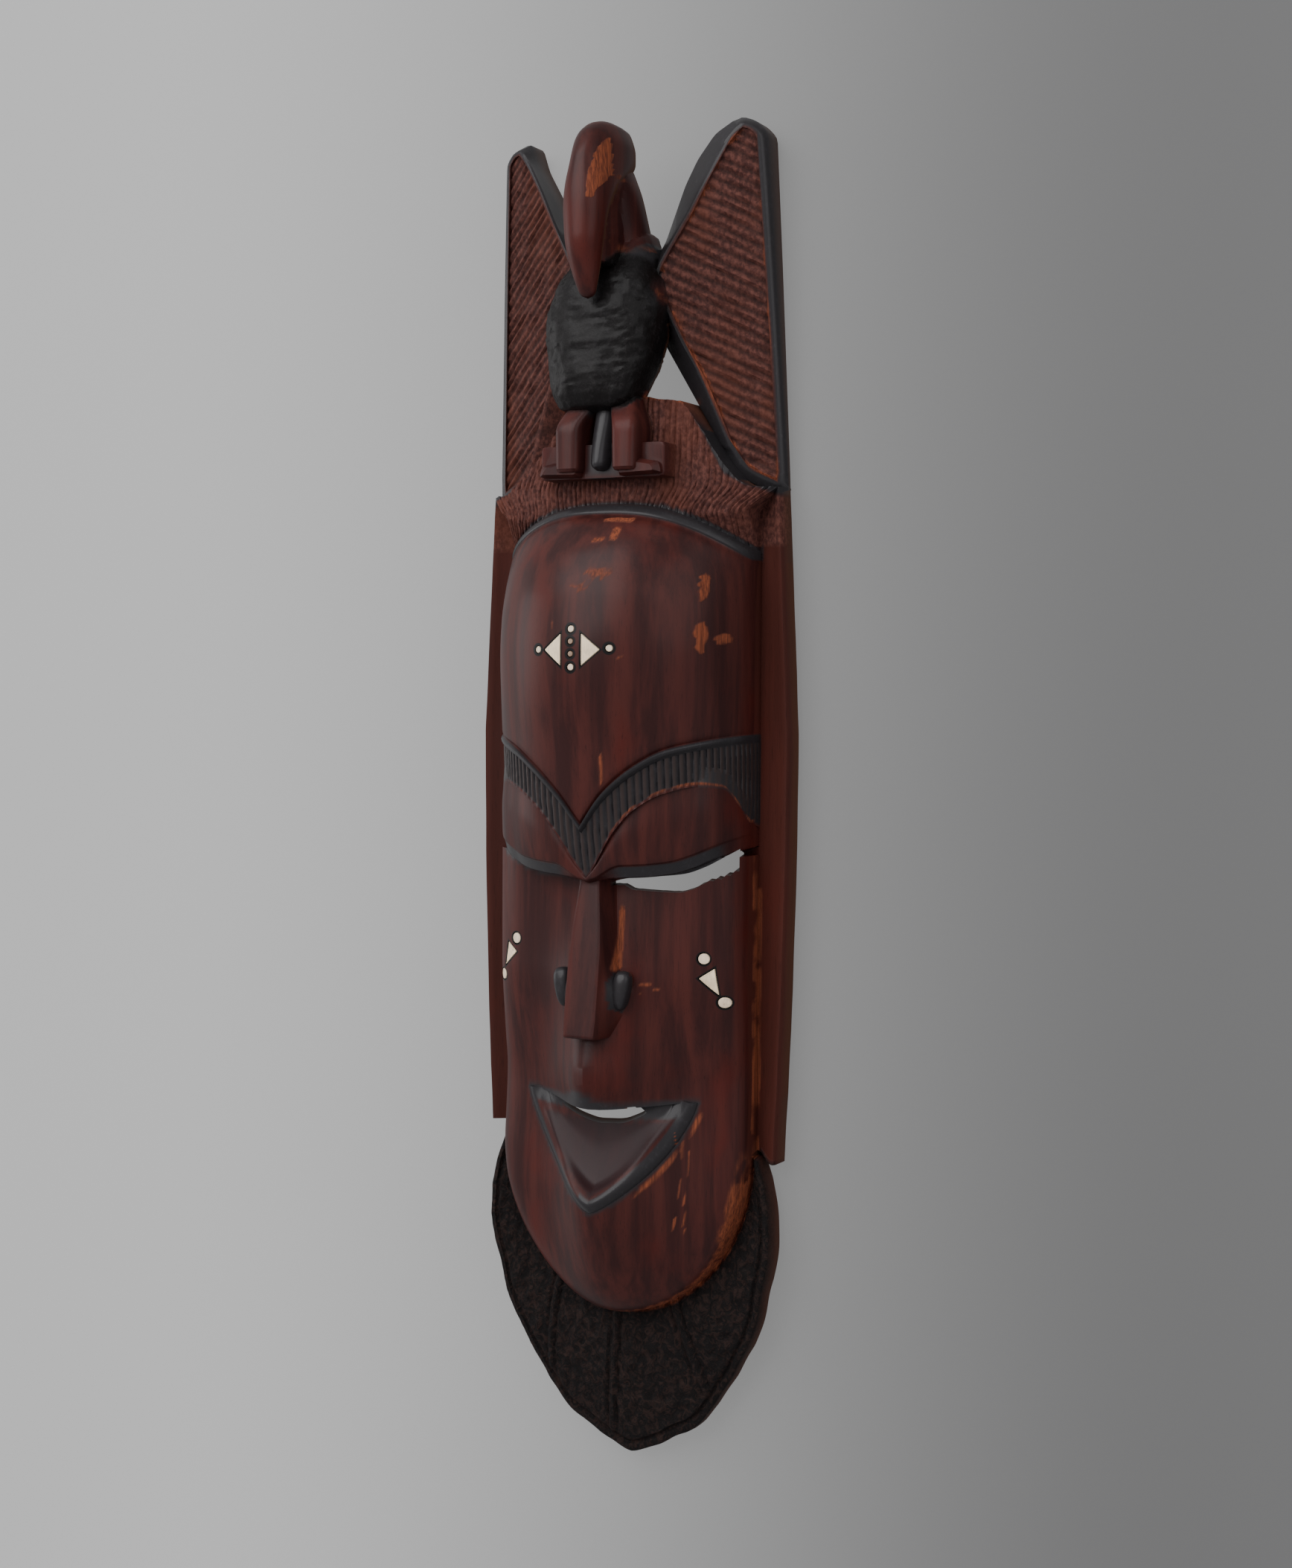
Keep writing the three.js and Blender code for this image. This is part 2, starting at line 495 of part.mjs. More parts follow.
function withoutSlivers(body) {
  const { vertProperties, triVerts } = body.getMesh();
  const spot = (v) => [0, 1, 2].map((k) => vertProperties[v * 3 + k]);
  const apart = (v, w) => Math.hypot(...spot(v).map((c, k) => c - spot(w)[k]));
  let faces = [];
  for (let k = 0; k < triVerts.length; k += 3) faces.push([...triVerts.slice(k, k + 3)]);
  const thinness = ([a, b, c]) => {
    const [u, w] = [spot(b).map((v, k) => v - spot(a)[k]), spot(c).map((v, k) => v - spot(a)[k])];
    const area = Math.hypot(u[1] * w[2] - u[2] * w[1], u[2] * w[0] - u[0] * w[2], u[0] * w[1] - u[1] * w[0]);
    return area / Math.max(apart(a, b), apart(b, c), apart(c, a));
  };
  const total = vertProperties.length / 3;
  for (let pass = 0; pass < 300; pass += 1) {
    const sides = new Map();
    faces.forEach(([a, b, c], k) => [[a, b], [b, c], [c, a]].forEach(([v, w]) => sides.set(v * total + w, k)));
    const thin = faces.filter((face) => thinness(face) < thinnest);
    const mended = thin.some(([p, q, r]) => {
      const turns = [[p, q, r], [q, r, p], [r, p, q]].sort((m, n) => apart(n[0], n[1]) - apart(m[0], m[1]));
      const [a, b, c] = turns[0];
      const [keep, gone] = turns[2];
      const other = sides.get(b * total + a);
      const d = faces[other].find((v) => v !== a && v !== b);
      const better = Math.min(thinness([c, a, d]), thinness([d, b, c])) > 2 * thinness([a, b, c]);
      if (better && apart(keep, gone) > 0.02 && !sides.has(c * total + d) && !sides.has(d * total + c)) {
        faces[sides.get(a * total + b)] = [c, a, d];
        faces[other] = [d, b, c];
        return true;
      }
      const around = (v) => new Set(faces.filter((face) => face.includes(v)).flat());
      const shared = [...around(keep)].filter((v) => v !== keep && v !== gone && around(gone).has(v));
      if (apart(keep, gone) > 0.8 || shared.length !== 2) return false;
      faces = faces.map((face) => face.map((v) => (v === gone ? keep : v))).filter((f) => new Set(f).size === 3);
      return true;
    });
    if (!mended) break;
  }
  const used = [...new Set(faces.flat())];
  const place = new Map(used.map((v, k) => [v, k]));
  return solidFrom(used.map(spot), faces.map((face) => face.map((v) => place.get(v))));
}

function meshOf(name, body, material) {
  const { vertProperties, triVerts } = body.getMesh();
  const geometry = new THREE.BufferGeometry();
  geometry.setAttribute("position", new THREE.BufferAttribute(new Float32Array(vertProperties), 3));
  geometry.setIndex(new THREE.BufferAttribute(new Uint32Array(triVerts), 1));
  const flat = geometry.toNonIndexed();
  flat.computeVertexNormals();
  const mesh = new THREE.Mesh(flat, material);
  mesh.name = name;
  group.add(mesh);
}

const mouthCut = prism(mouthOutline(-1.8), 16, 70);
const cheekBody = cheeks().subtract(mouthCut).add(lips());
let mask = panels().add(cheekBody).add(forehead()).add(lids()).add(nose()).add(nostrils());
mask = mask.add(beard()).add(beardRibs());
mask = mask.add(hair()).add(wing(1)).add(wing(-1));
mask = mask.subtract(sideHole(1)).subtract(sideHole(-1)).add(bird());
mask = mask.subtract(hollow()).subtract(eyeSlit()).subtract(mouthGap());
for (const shape of Object.values(inlays)) mask = mask.subtract(tile(shape, inlayGap, -inlayDeep - inlayGap, 6));
meshOf("mask", withoutSlivers(mask), wood);
for (const [name, shape] of Object.entries(inlays)) meshOf(name, tile(shape, 0, -inlayDeep, 0.05), bone);
export default group;
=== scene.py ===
import math

import bpy
import numpy as np
from mathutils import Matrix, Vector, noise


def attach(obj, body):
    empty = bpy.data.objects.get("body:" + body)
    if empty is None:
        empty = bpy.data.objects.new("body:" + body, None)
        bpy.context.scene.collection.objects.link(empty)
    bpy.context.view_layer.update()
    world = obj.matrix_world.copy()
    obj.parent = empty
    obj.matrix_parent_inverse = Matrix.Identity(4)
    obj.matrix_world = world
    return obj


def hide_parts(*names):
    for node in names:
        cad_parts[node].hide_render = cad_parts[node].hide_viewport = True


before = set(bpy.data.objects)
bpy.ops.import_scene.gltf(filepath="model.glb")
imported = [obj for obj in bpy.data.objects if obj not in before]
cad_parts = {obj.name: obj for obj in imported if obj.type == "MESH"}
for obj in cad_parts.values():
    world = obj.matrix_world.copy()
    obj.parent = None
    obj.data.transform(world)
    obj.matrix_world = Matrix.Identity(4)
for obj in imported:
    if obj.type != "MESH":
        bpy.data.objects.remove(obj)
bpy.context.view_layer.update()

mm = 0.001

# Named sizes in mm, the same as in the solids: x across, y to the top of the head, z out of the face.
size = {
    "chinCentreY": -127, "faceHalf": 51.5, "chinReach": 64.6, "archTopY": 110.5, "archDrop": 16.5,
    "archHalf": 50.4, "panelInnerZ": 8, "panelOuterZ": 13, "backBevel": 4, "mouthHalf": 35.8,
    "mouthTopY": -108.5, "mouthDrop": 41.7, "lipBand": 5.6, "inlayDeep": 2.4, "inlayGap": 0.3,
}
# The angle in radians that the face's columns span, and the strokes in the hatched brow.
faceTurn = 3.1
hatchStrokes = 57


def mix(a, b, t):
    return a + (b - a) * t


def ease(t):
    t = np.clip(t, 0, 1)
    return t * t * (3 - 2 * t)


def bump(t):
    return np.maximum(0, 1 - t * t)


def through(*stations):
    places = np.array([s[0] for s in stations], float)
    values = np.array([s[1] for s in stations], float)
    rises = np.diff(values) / np.diff(places)
    slopes = np.concatenate([rises[:1], np.zeros(len(rises) - 1), rises[-1:]])
    before, after = rises[:-1], rises[1:]
    total = np.where(before + after == 0, 1, before + after)
    slopes[1:-1] = np.where(before * after <= 0, 0, 2 * before * after / total)

    def curve(place):
        at = np.clip(place, places[0], places[-1])
        k = np.clip(np.searchsorted(places, at, side="right") - 1, 0, len(places) - 2)
        wide = places[k + 1] - places[k]
        t = (at - places[k]) / wide
        smooth = mix(values[k], values[k + 1], t * t * (3 - 2 * t))
        return smooth + wide * t * (1 - t) * (slopes[k] * (1 - t) - slopes[k + 1] * t)

    return curve


def outerHalf(y):
    return np.where(y > 27, 65 - 0.048 * (y - 27), 65 - 3.9 * ((27 - y) / 153) ** 2)


def archLine(x):
    return size["archTopY"] - size["archDrop"] * np.abs(x / size["archHalf"]) ** 2.5


browLine = through((0, -6), (9, 5.5), (20, 15), (31, 21.5), (40, 24.2), (52, 27))
hatchLine = through((0, -25.5), (4, -20), (12, -8), (20, 0.5), (30, 6.5), (40, 9), (46, 8), (52, -8))
lidLine = through((0, -28.4), (5, -27), (12, -25.9), (20, -25.4), (30, -24.2), (38, -21.5), (45, -18),
                  (52, -14.5))
slitLine = through((6, -29), (10, -30.6), (27, -31), (33, -29.7), (38, -27), (44, -25.4), (52, -22))
foreheadCrown = through((-40, 44), (-6, 52), (20, 55.5), (57, 59.5), (75, 57.5), (90, 52), (102, 43.5),
                        (110.5, 34))
cheekHeight = through((-192, 13), (-150, 16), (-108, 17.5), (-85, 21.5), (-60, 25), (-20, 25))
ridgeHeight = through((-192, 3), (-178, 6.5), (-165, 11), (-150, 15), (-127, 15.5), (-110, 18.5), (-101, 21),
                      (-88, 17), (-60, 8), (-30, 3))
faceBase = through((-145, 12), (-100, size["panelInnerZ"]))
noseFront = through((-84, 52.7), (-56, 48.6), (-28, 44.4))
noseHalf = through((-84, 6.5), (-76, 6.9), (-56, 6.8), (-28, 4.3))
noseBase = through((-84, 7.2), (-76, 12), (-68, 16.3), (-61, 10.5), (-56, 8.4), (-28, 6))
basinZ = through((-150, 42.4), (-144, 40.6), (-132, 36.5), (-118, 32.5), (-109, 30))


def foreheadZ(x, y):
    lift = (size["archTopY"] - archLine(x)) * ease((y - 40) / 50)
    round_ = np.sqrt(bump(np.minimum(np.abs(x) / size["faceHalf"], 0.999)))
    return size["panelInnerZ"] + (foreheadCrown(y + lift) - size["panelInnerZ"]) * round_


def faceReach(x, y):
    return np.hypot(x / size["faceHalf"], np.maximum(0, size["chinCentreY"] - y) / size["chinReach"])


def cheekZ(x, y):
    edge = (1 - np.minimum(faceReach(x, y), 0.9995) ** 4) ** 0.25
    ridge = ridgeHeight(y) * np.exp(-((x / 19) ** 2)) * edge
    chinLift = 4.5 * ease((-150 - y) / 35) * np.exp(-((x / 24) ** 2))
    return faceBase(y) + chinLift + cheekHeight(y) * edge + ridge


def rumple(x, y, z, scale, depth=1.0):
    spots = np.column_stack(np.broadcast_arrays(x, y, z)).astype(float) / scale
    return depth * np.array([noise.noise(Vector(p)) for p in spots])


def coordsOf(ob):
    flat = np.empty(len(ob.data.vertices) * 3)
    ob.data.vertices.foreach_get("co", flat)
    return flat.reshape(-1, 3)


def place(ob, spots):
    ob.data.vertices.foreach_set("co", np.ascontiguousarray(spots).ravel())
    ob.data.update()


def inEditMode(ob, *steps):
    bpy.ops.object.select_all(action="DESELECT")
    bpy.context.view_layer.objects.active = ob
    ob.select_set(True)
    bpy.ops.object.mode_set(mode="EDIT")
    bpy.ops.mesh.select_all(action="SELECT")
    for step in steps:
        step()
    bpy.ops.object.mode_set(mode="OBJECT")


def faceOut(ob):
    inEditMode(ob, lambda: bpy.ops.mesh.normals_make_consistent(inside=False))
    return ob


def closedSheet(name, rows, cols, point, floor):
    bpy.ops.mesh.primitive_grid_add(x_subdivisions=cols, y_subdivisions=rows, size=2)
    ob = bpy.context.object
    ob.name = name
    grid = coordsOf(ob)
    u, v = (grid[:, 0] + 1) / 2, (1 - grid[:, 1]) / 2
    place(ob, np.column_stack(np.broadcast_arrays(*point(u, v))) * mm)
    inEditMode(ob, lambda: bpy.ops.mesh.extrude_region())
    spots = coordsOf(ob)
    moved = np.empty(len(ob.data.vertices), bool)
    ob.data.vertices.foreach_get("select", moved)
    x, y, z = (spots[moved] / mm).T
    spots[moved] = np.column_stack(np.broadcast_arrays(*floor(x, y, z))) * mm
    place(ob, spots)
    return faceOut(ob)


def roundBar(name, rings, sides, shape, endRound=0.12):
    bpy.ops.mesh.primitive_uv_sphere_add(segments=sides, ring_count=rings, radius=1)
    ob = bpy.context.object
    ob.name = name
    ball = coordsOf(ob)
    t = 0.5 + np.arcsin(np.clip(ball[:, 2], -1, 1)) / math.pi
    turn = np.arctan2(ball[:, 1], ball[:, 0])
    s = shape(t)
    fromEnd = np.minimum(t, 1 - t) / endRound
    full = np.sqrt(np.clip(1 - (1 - np.clip(fromEnd, 0, 1)) ** 2, 0, 1))
    power = 2 / s.get("square", 2)
    across = np.sign(np.cos(turn)) * np.abs(np.cos(turn)) ** power
    up = np.sign(np.sin(turn)) * np.abs(np.sin(turn)) ** power
    middle, half = (s["low"] + s["high"]) / 2, (s["high"] - s["low"]) / 2
    x = s.get("x", 0) + s["half"] * across * full
    place(ob, np.column_stack(np.broadcast_arrays(x, s["y"], middle + half * up * full)) * mm)
    return faceOut(ob)


def stackedOutlines(name, rings):
    rings = [np.array(ring, float) for ring in rings]
    bpy.ops.mesh.primitive_circle_add(vertices=len(rings[0]), fill_type="NGON", radius=1)
    ob = bpy.context.object
    ob.name = name
    place(ob, rings[0] * mm)
    bpy.ops.object.mode_set(mode="EDIT")
    bpy.ops.mesh.select_all(action="SELECT")
    for below, ring in zip(rings, rings[1:]):
        bpy.ops.mesh.extrude_region()
        bpy.ops.object.mode_set(mode="OBJECT")
        spots = coordsOf(ob)
        fresh = np.empty(len(spots), bool)
        ob.data.vertices.foreach_get("select", fresh)
        gaps = np.linalg.norm(spots[fresh][:, None] - below[None] * mm, axis=2)
        spots[fresh] = ring[np.argmin(gaps, axis=1)] * mm
        place(ob, spots)
        bpy.ops.object.mode_set(mode="EDIT")
    bpy.ops.object.mode_set(mode="OBJECT")
    return faceOut(ob)


def combine(ob, other, how):
    bpy.ops.object.select_all(action="DESELECT")
    bpy.context.view_layer.objects.active = ob
    ob.select_set(True)
    cut = ob.modifiers.new(how, "BOOLEAN")
    cut.operation = how
    cut.solver = "MANIFOLD"
    cut.object = other
    bpy.ops.object.modifier_apply(modifier=cut.name)
    bpy.data.objects.remove(other, do_unlink=True)
    return ob


def grooved(t, sharp=0.6):
    return np.abs(np.sin(np.pi * t)) ** sharp


def shields():
    wavy = {"depth": 0.25, "reach": 26}

    def point(u, v):
        side = np.sign(u - 0.5 + 1e-9)
        t = 1 - np.abs(u - 0.5) * 2
        share, inner = np.clip((t - 0.08) / 0.34, 0, 1), np.clip((t - 0.42) / 0.58, 0, 1)
        low = np.where(side > 0, -127.5 - 4 * ease((1 - share) * 1.3 - 0.15), -126)
        y = mix(116, low, v)
        wide = outerHalf(y) - np.abs(rumple(side * 9, y, 0, wavy["reach"], wavy["depth"]))
        rim = wide - np.interp(t, [0, 0.034, 0.08], [0, 0.3, 1.2])
        across = mix(mix(rim, size["faceHalf"] - 0.6, share), 0, inner)
        heights = [size["backBevel"], 11.6, size["panelOuterZ"], size["panelInnerZ"], size["panelInnerZ"]]
        rise = np.interp(t, [0, 0.034, 0.08, 0.42, 1], heights)
        return side * across, y, rise - 0.5 * bump((t - 0.25) / 0.17) * (t > 0.08)

    return closedSheet("shields", 124, 56, point, lambda x, y, z: (x * (1 - 3 / 65), y, 0))


def forehead():
    archRows, fieldRows, rimRows = 14, 52, 14
    bead = through((0.15, -3), (0.5, -0.6), (1, 0.45), (1.8, 0.95), (3, 0.75), (3.9, 0.2), (4.4, -0.45),
                   (5, -0.5), (6.5, 0))
    rimBead = through((-3.5, -0.6), (-3.1, -0.2), (-2.5, 0.65), (-1.6, 0.95), (-1, 0.5), (-0.45, -0.5),
                      (0, -0.9), (0.45, -0.4), (1.3, 0))
    rows = archRows + fieldRows + rimRows

    def point(u, v):
        x = size["faceHalf"] * np.sin((u - 0.5) * faceTurn)
        row = np.rint(v * rows)
        top, rim = archLine(x), browLine(np.abs(x))
        s = np.interp(row, [0, archRows], [0.15, 6.5])
        share = np.clip((row - archRows) / fieldRows, 0, 1)
        r = np.interp(row, [rows - rimRows, rows], [1.3, -3.5])
        y = np.where(row <= archRows, top - s, np.where(share < 1, mix(top - 6.5, rim + 1.3, share), rim + r))
        lift = np.where(row <= archRows, bead(s), np.where(share < 1, 0, rimBead(r)))
        return x, y, np.clip(foreheadZ(x, y) + lift + rumple(x, y, 0, 31, 0.22), 5, 59.45)

    return closedSheet("forehead", rows, 98, point, lambda x, y, z: (x, y, 1))


def browHatch():
    strokes = {"deep": 1.0, "rows": 20, "perStroke": 6}

    def point(u, v):
        turn = (u - 0.5) * faceTurn
        x = size["faceHalf"] * np.sin(turn)
        wide = np.abs(x)
        y = mix(browLine(wide) - 2.4, hatchLine(wide) - 1.2, v)
        ends = np.clip(np.minimum(v * 9, (1 - v) * 9), 0, 1)
        wobble = rumple(x, y, 3, 7, 0.12)
        cut = 1 - grooved((turn / faceTurn + 0.5) * hatchStrokes + wobble, 0.7)
        return x, y, foreheadZ(x, y) - 0.75 - strokes["deep"] * cut * ends + rumple(x, y, 0, 2.1, 0.12)

    return closedSheet("browHatch", strokes["rows"], hatchStrokes * strokes["perStroke"], point,
                       lambda x, y, z: (x, y, 1))


def creaseLine(wide):
    top, low = hatchLine(np.minimum(wide, 50)), lidLine(wide)
    return np.maximum(low + 0.9, np.minimum(top - 0.6, low + 4.4 * ease(wide / 14)))


def lids():
    stops = np.arange(8)
    down = through(*zip(stops, [3.2, 2.2, 0.5, 0.15, 1.1, 2.4, 3.6, 9]))

    def point(u, v):
        x = (size["faceHalf"] - 0.4) * np.sin((u - 0.5) * 3.08)
        wide = np.abs(x)
        top, low = hatchLine(np.minimum(wide, 50)), lidLine(wide)
        crease = creaseLine(wide)
        q = v * 7
        places = [top + 6, top, mix(top, crease + 0.9, 0.5), crease + 0.9, crease, low + 0.4, low, low + 0.4]
        y = sum(line * np.maximum(0, 1 - np.abs(q - k)) for k, line in enumerate(places))
        return x, y, np.maximum(5, foreheadZ(x, y) + 2.2 * ease((wide - 34) / 10) - down(q))

    return closedSheet("lids", 49, 96, point, lambda x, y, z: (x, y, 1))


def cheeks():
    def point(u, v):
        turn = (u - 0.5) * 3.12
        y = np.where(v < 0.6, mix(-18, size["chinCentreY"], v / 0.6),
                     size["chinCentreY"] - size["chinReach"] * np.sin(np.maximum(0, v - 0.6) / 0.4 * 1.5))
        below = np.maximum(0, size["chinCentreY"] - y) / size["chinReach"]
        half = size["faceHalf"] * np.sqrt(1 - below ** 2)
        x = half * np.sign(turn) * np.abs(np.sin(turn)) ** 0.72
        philtrum = 1.2 * np.exp(-((x / 5.5) ** 2)) * bump((y + 97) / 15)
        return x, y, cheekZ(x, y) + philtrum + rumple(x, y, 9, 34, 0.3)

    return closedSheet("cheeks", 112, 100, point, lambda x, y, z: (x, y, 1))


def nose():
    def point(u, v):
        y = mix(-84.2, -27, v ** 1.25)
        side, t = np.sign(u - 0.5 + 1e-9), np.abs(u - 0.5) * 2
        front, half, base = noseFront(y), noseHalf(y), noseBase(y)
        foot = cheekZ(base, y)
        round_ = np.interp(t, [0, 0.3, 0.42, 0.5, 1], [0, 0.02, 0.3, 1.3, 1.3])
        flank = np.clip((t - 0.5) * 2, 0, 1)
        across = np.where(t < 0.5, half * np.interp(t, [0, 0.3, 0.42, 0.5], [0, 0.78, 0.95, 1]),
                          mix(half, base + 1.5, flank))
        rise = np.where(t < 0.5, front - round_, mix(front - 1.3, foot - 4, flank))
        return side * across, y, rise - 1.1 * np.clip(1 - v / 0.04, 0, 1) ** 2

    return closedSheet("nose", 64, 44, point, lambda x, y, z: (x, y, 3))


def nostril(side):
    swell = {"x": 12.1, "y": -67, "z": 41.2, "wide": 3.6, "long": 7.2, "high": 3.6, "lean": 0.12}
    bpy.ops.mesh.primitive_uv_sphere_add(segments=32, ring_count=20, radius=1)
    ob = bpy.context.object
    ball = coordsOf(ob)
    ball = np.sign(ball) * np.abs(ball) ** 0.72
    x, y = ball[:, 0] * swell["wide"] * (0.86 + 0.2 * ball[:, 1]), ball[:, 1] * swell["long"]
    turned = np.column_stack([x + y * swell["lean"], y - x * swell["lean"], ball[:, 2] * swell["high"]])
    turned += [swell["x"], swell["y"], swell["z"]]
    turned[:, 0] *= side
    place(ob, turned * mm)
    return faceOut(ob)


def mouthPoint(u, half, drop, topY):
    turn = math.pi * (1 - u)
    across, down = np.cos(turn), np.sin(turn)
    return half * np.sign(across) * np.abs(across) ** 1.5, topY - drop * np.abs(down) ** 1.5


def mouthTop(x):
    return size["mouthTopY"] - 2.6 * bump(x / 33)


def mouthOutline(grow, count=72):
    half, drop = size["mouthHalf"] + grow, size["mouthDrop"] + grow
    x, y = mouthPoint(np.linspace(0, 1, count + 1), half, drop, size["mouthTopY"])
    tops = np.linspace(30, -30, 31)
    return np.concatenate([np.column_stack([x, y]), np.column_stack([tops, mouthTop(tops)])])


def upright(outline, low, high, shift=0):
    flat = np.array(outline, float)
    rings = []
    for z in (low, high):
        ring = np.column_stack([flat, np.full(len(flat), float(z))])
        ring[:, 0] += shift * (z - 24)
        rings.append(ring)
    return rings


def lips():
    stops = np.arange(7)
    grows = through(*zip(stops, [0.4, -0.6, -2.8, -size["lipBand"], -8.6, -18, -30]))
    sideGrows = through(*zip(stops, [0.4, -0.6, -2.8, -size["lipBand"], -8.6, -9.2, -12]))
    raises = through(*zip(stops, [-1.2, 0.6, 1.7, 0.3, -1, -1.5, -1]))

    def point(u, v):
        q = v * 6
        corner = np.clip(1 - np.abs(u - 0.5) * 2, 0, 1)
        depth = np.maximum(0.6, size["mouthDrop"] + grows(q) * 1.25)
        topY = size["mouthTopY"] + 0.6 * np.clip(q - 2, 0, 1)
        x, y = mouthPoint(u, size["mouthHalf"] + sideGrows(q), depth, topY)
        inside = ease((q - 2) / 2)
        deep = mix(cheekZ(x, y), basinZ(y), ease(corner * 2.2))
        return x, y + 3 * np.clip(q - 5, 0, 1), mix(cheekZ(x, y), deep, inside) + raises(q)

    return closedSheet("lips", 42, 104, point, lambda x, y, z: (x, y, 14))


beardReach = through((0, 1.904), (10, 1.815), (17.4, 1.77), (25, 1.673), (35.6, 1.551), (44.4, 1.472),
                     (52.5, 1.372), (61, 1.311), (72.8, 1.2), (88, 1.04))
beardInnerZ = through((0, 16.5), (25, 14.5), (50, 12), (90, 10.5))
beardOuterZ = through((0, 9), (25, 10.5), (45, 13), (66, 15.5), (88, 13))
beardRibs = ((-33, -24, 1.62), (-3, -5, 1.85), (23, 24, 1.6))


def beard():
    rough = {"dents": 3.1, "depth": 0.95, "fine": 1.4, "fineDepth": 0.4}

    def point(u, v):
        angle = (u - 0.5) * 175.3
        wide = np.abs(angle)
        edge = beardReach(np.sqrt(wide ** 2 + 7)) - 0.016 * np.abs(rumple(angle, 0, 0, 8, 1))
        edge = edge + 0.02 * np.exp(-((wide / 9) ** 2))
        reach = np.where(v < 0.2, edge - 0.075 * v / 0.2, mix(edge - 0.075, 0.8, (v - 0.2) / 0.8))
        reach = np.maximum(reach, 0.8)
        turn = np.radians(angle)
        x = size["faceHalf"] * reach * np.sin(turn)
        y = size["chinCentreY"] - size["chinReach"] * reach * np.cos(turn)
        share = np.clip((reach - 1) / (edge - 1), 0, 1)
        z = mix(beardInnerZ(wide), beardOuterZ(wide), share) + 1.5 * bump(share * 2 - 1)
        inward = (edge - reach) * 60
        z = z - 1.1 * bump((inward - 3.8) / 1.1) - 0.7 * np.exp(-inward / 0.5)
        field = np.clip((inward - 4.5) / 2, 0, 1)
        for fromAngle, toAngle, toReach in beardRibs:
            line = mix(fromAngle, toAngle, np.clip((reach - 1) / (toReach - 1), 0, 1))
            away = (angle - line) / 57.3 * reach * 58
            length = np.clip((toReach - reach) * 30, 0, 1)
            z = z + length * (0.7 * bump(away / 1.6) - 0.75 * bump((np.abs(away) - 2.3) / 0.9))
            field = field * (1 - 0.8 * length * bump(away / 3.4))
        dents = rumple(x, y, 5, rough["dents"], rough["depth"])
        dents = dents + rumple(x, y, 8, rough["fine"], rough["fineDepth"])
        z = z + dents * (0.25 + 0.75 * field)
        return x, y, np.where(v == 0, size["backBevel"] + 1, z)

    return closedSheet("beard", 68, 216, point,
                       lambda x, y, z: (x * 0.955, size["chinCentreY"] + (y - size["chinCentreY"]) * 0.97, 0))


def hairZ(x, y):
    dome = 9 + 22 * np.sqrt(bump(np.minimum(np.abs(x) / 61, 0.98))) - 0.1 * (y - 112)
    edge = np.minimum(np.abs(x), size["archHalf"])
    lowest = foreheadZ(edge, archLine(edge) - 2) - 2.2 + 0.6 * np.maximum(0, y - archLine(edge))
    return np.minimum(dome, lowest)


def hair():
    strands = {"count": 54, "deep": 0.95, "perStrand": 5}

    def point(u, v):
        x = 118 * (u - 0.5)
        low = np.minimum(archLine(np.minimum(np.abs(x), size["archHalf"])) - 3, 108)
        high = 150 - 34 * ease((np.abs(x) - 20) / 32) + rumple(x, 0, 0, 3, 0.5)
        y = mix(low, high, v)
        lean = 0.45 * (y - 112) * ease(-x / 40)
        fan = mix(50.6, 60, ease((y - 106) / 12))
        spread = x / 59 * fan + np.clip(lean, -6, 9) * (1 - (np.abs(x) / 59) ** 4)
        cut = 1 - grooved(u * strands["count"] + rumple(x, y * 0.3, 2, 3, 0.3), 0.7)
        return spread, y, hairZ(spread, y) - strands["deep"] * cut - np.abs(rumple(x * 2, y, 0, 2.6, 0.7))

    return closedSheet("hair", 30, strands["count"] * strands["perStrand"], point, lambda x, y, z: (x, y, 0))


def wingZ(x, y):
    return 15.5 + 0.044 * (y - 242) + 0.34 * (54 - np.abs(x))


wingOuter = np.array([
    (44, 249.8), (50, 247.6), (54.3, 243), (56.9, 195), (60.5, 122), (60.8, 113.5), (50, 117), (43, 121),
    (36, 134), (25, 152), (14, 170), (8, 186), (9, 200), (14, 207), (22, 227), (27, 236), (34, 244.5)])
wingRim = np.array([
    (46, 246.3), (50, 245.2), (53, 242), (55.6, 195), (59.2, 122), (58.6, 116.5), (51, 120), (46, 123.5),
    (41, 131), (32.4, 153.6), (24.6, 168.5), (18, 184), (15, 192), (17.5, 198), (28, 216), (34.5, 229),
    (41, 240.5)])


def inset(outline, distance):
    lead = outline - np.roll(outline, 1, axis=0)
    tail = np.roll(outline, -1, axis=0) - outline
    lead = lead / np.linalg.norm(lead, axis=1, keepdims=True)
    tail = tail / np.linalg.norm(tail, axis=1, keepdims=True)
    way = lead + tail
    reach = distance * 2 / np.maximum(0.3, (way ** 2).sum(axis=1))
    return outline + np.column_stack([way[:, 1], -way[:, 0]]) * reach[:, None]


def softened(outline, reach=2.0, steps=5):
    before = np.roll(outline, 1, axis=0) - outline
    after = np.roll(outline, -1, axis=0) - outline
    before *= np.minimum(0.3, reach / np.linalg.norm(before, axis=1))[:, None]
    after *= np.minimum(0.3, reach / np.linalg.norm(after, axis=1))[:, None]
    corners = [outline + before, outline + (before + after) * 0.25, outline + after]
    line = np.stack(corners, axis=1)
    following = np.roll(line[:, 0], -1, axis=0)
    straight = [mix(line[:, 2], following, k / steps) for k in range(1, steps)]
    return np.concatenate([line, np.stack(straight, axis=1)], axis=1).reshape(-1, 2)


def flipped(outline, side):
    return np.array(outline) * [side, 1] if len(outline[0]) == 2 else np.array(outline) * [side, 1, 1]


# Right and left wing: groove pitch in mm and slope.
featherLook = {1: (3.7, 0.5), -1: (2.9, 0.95)}


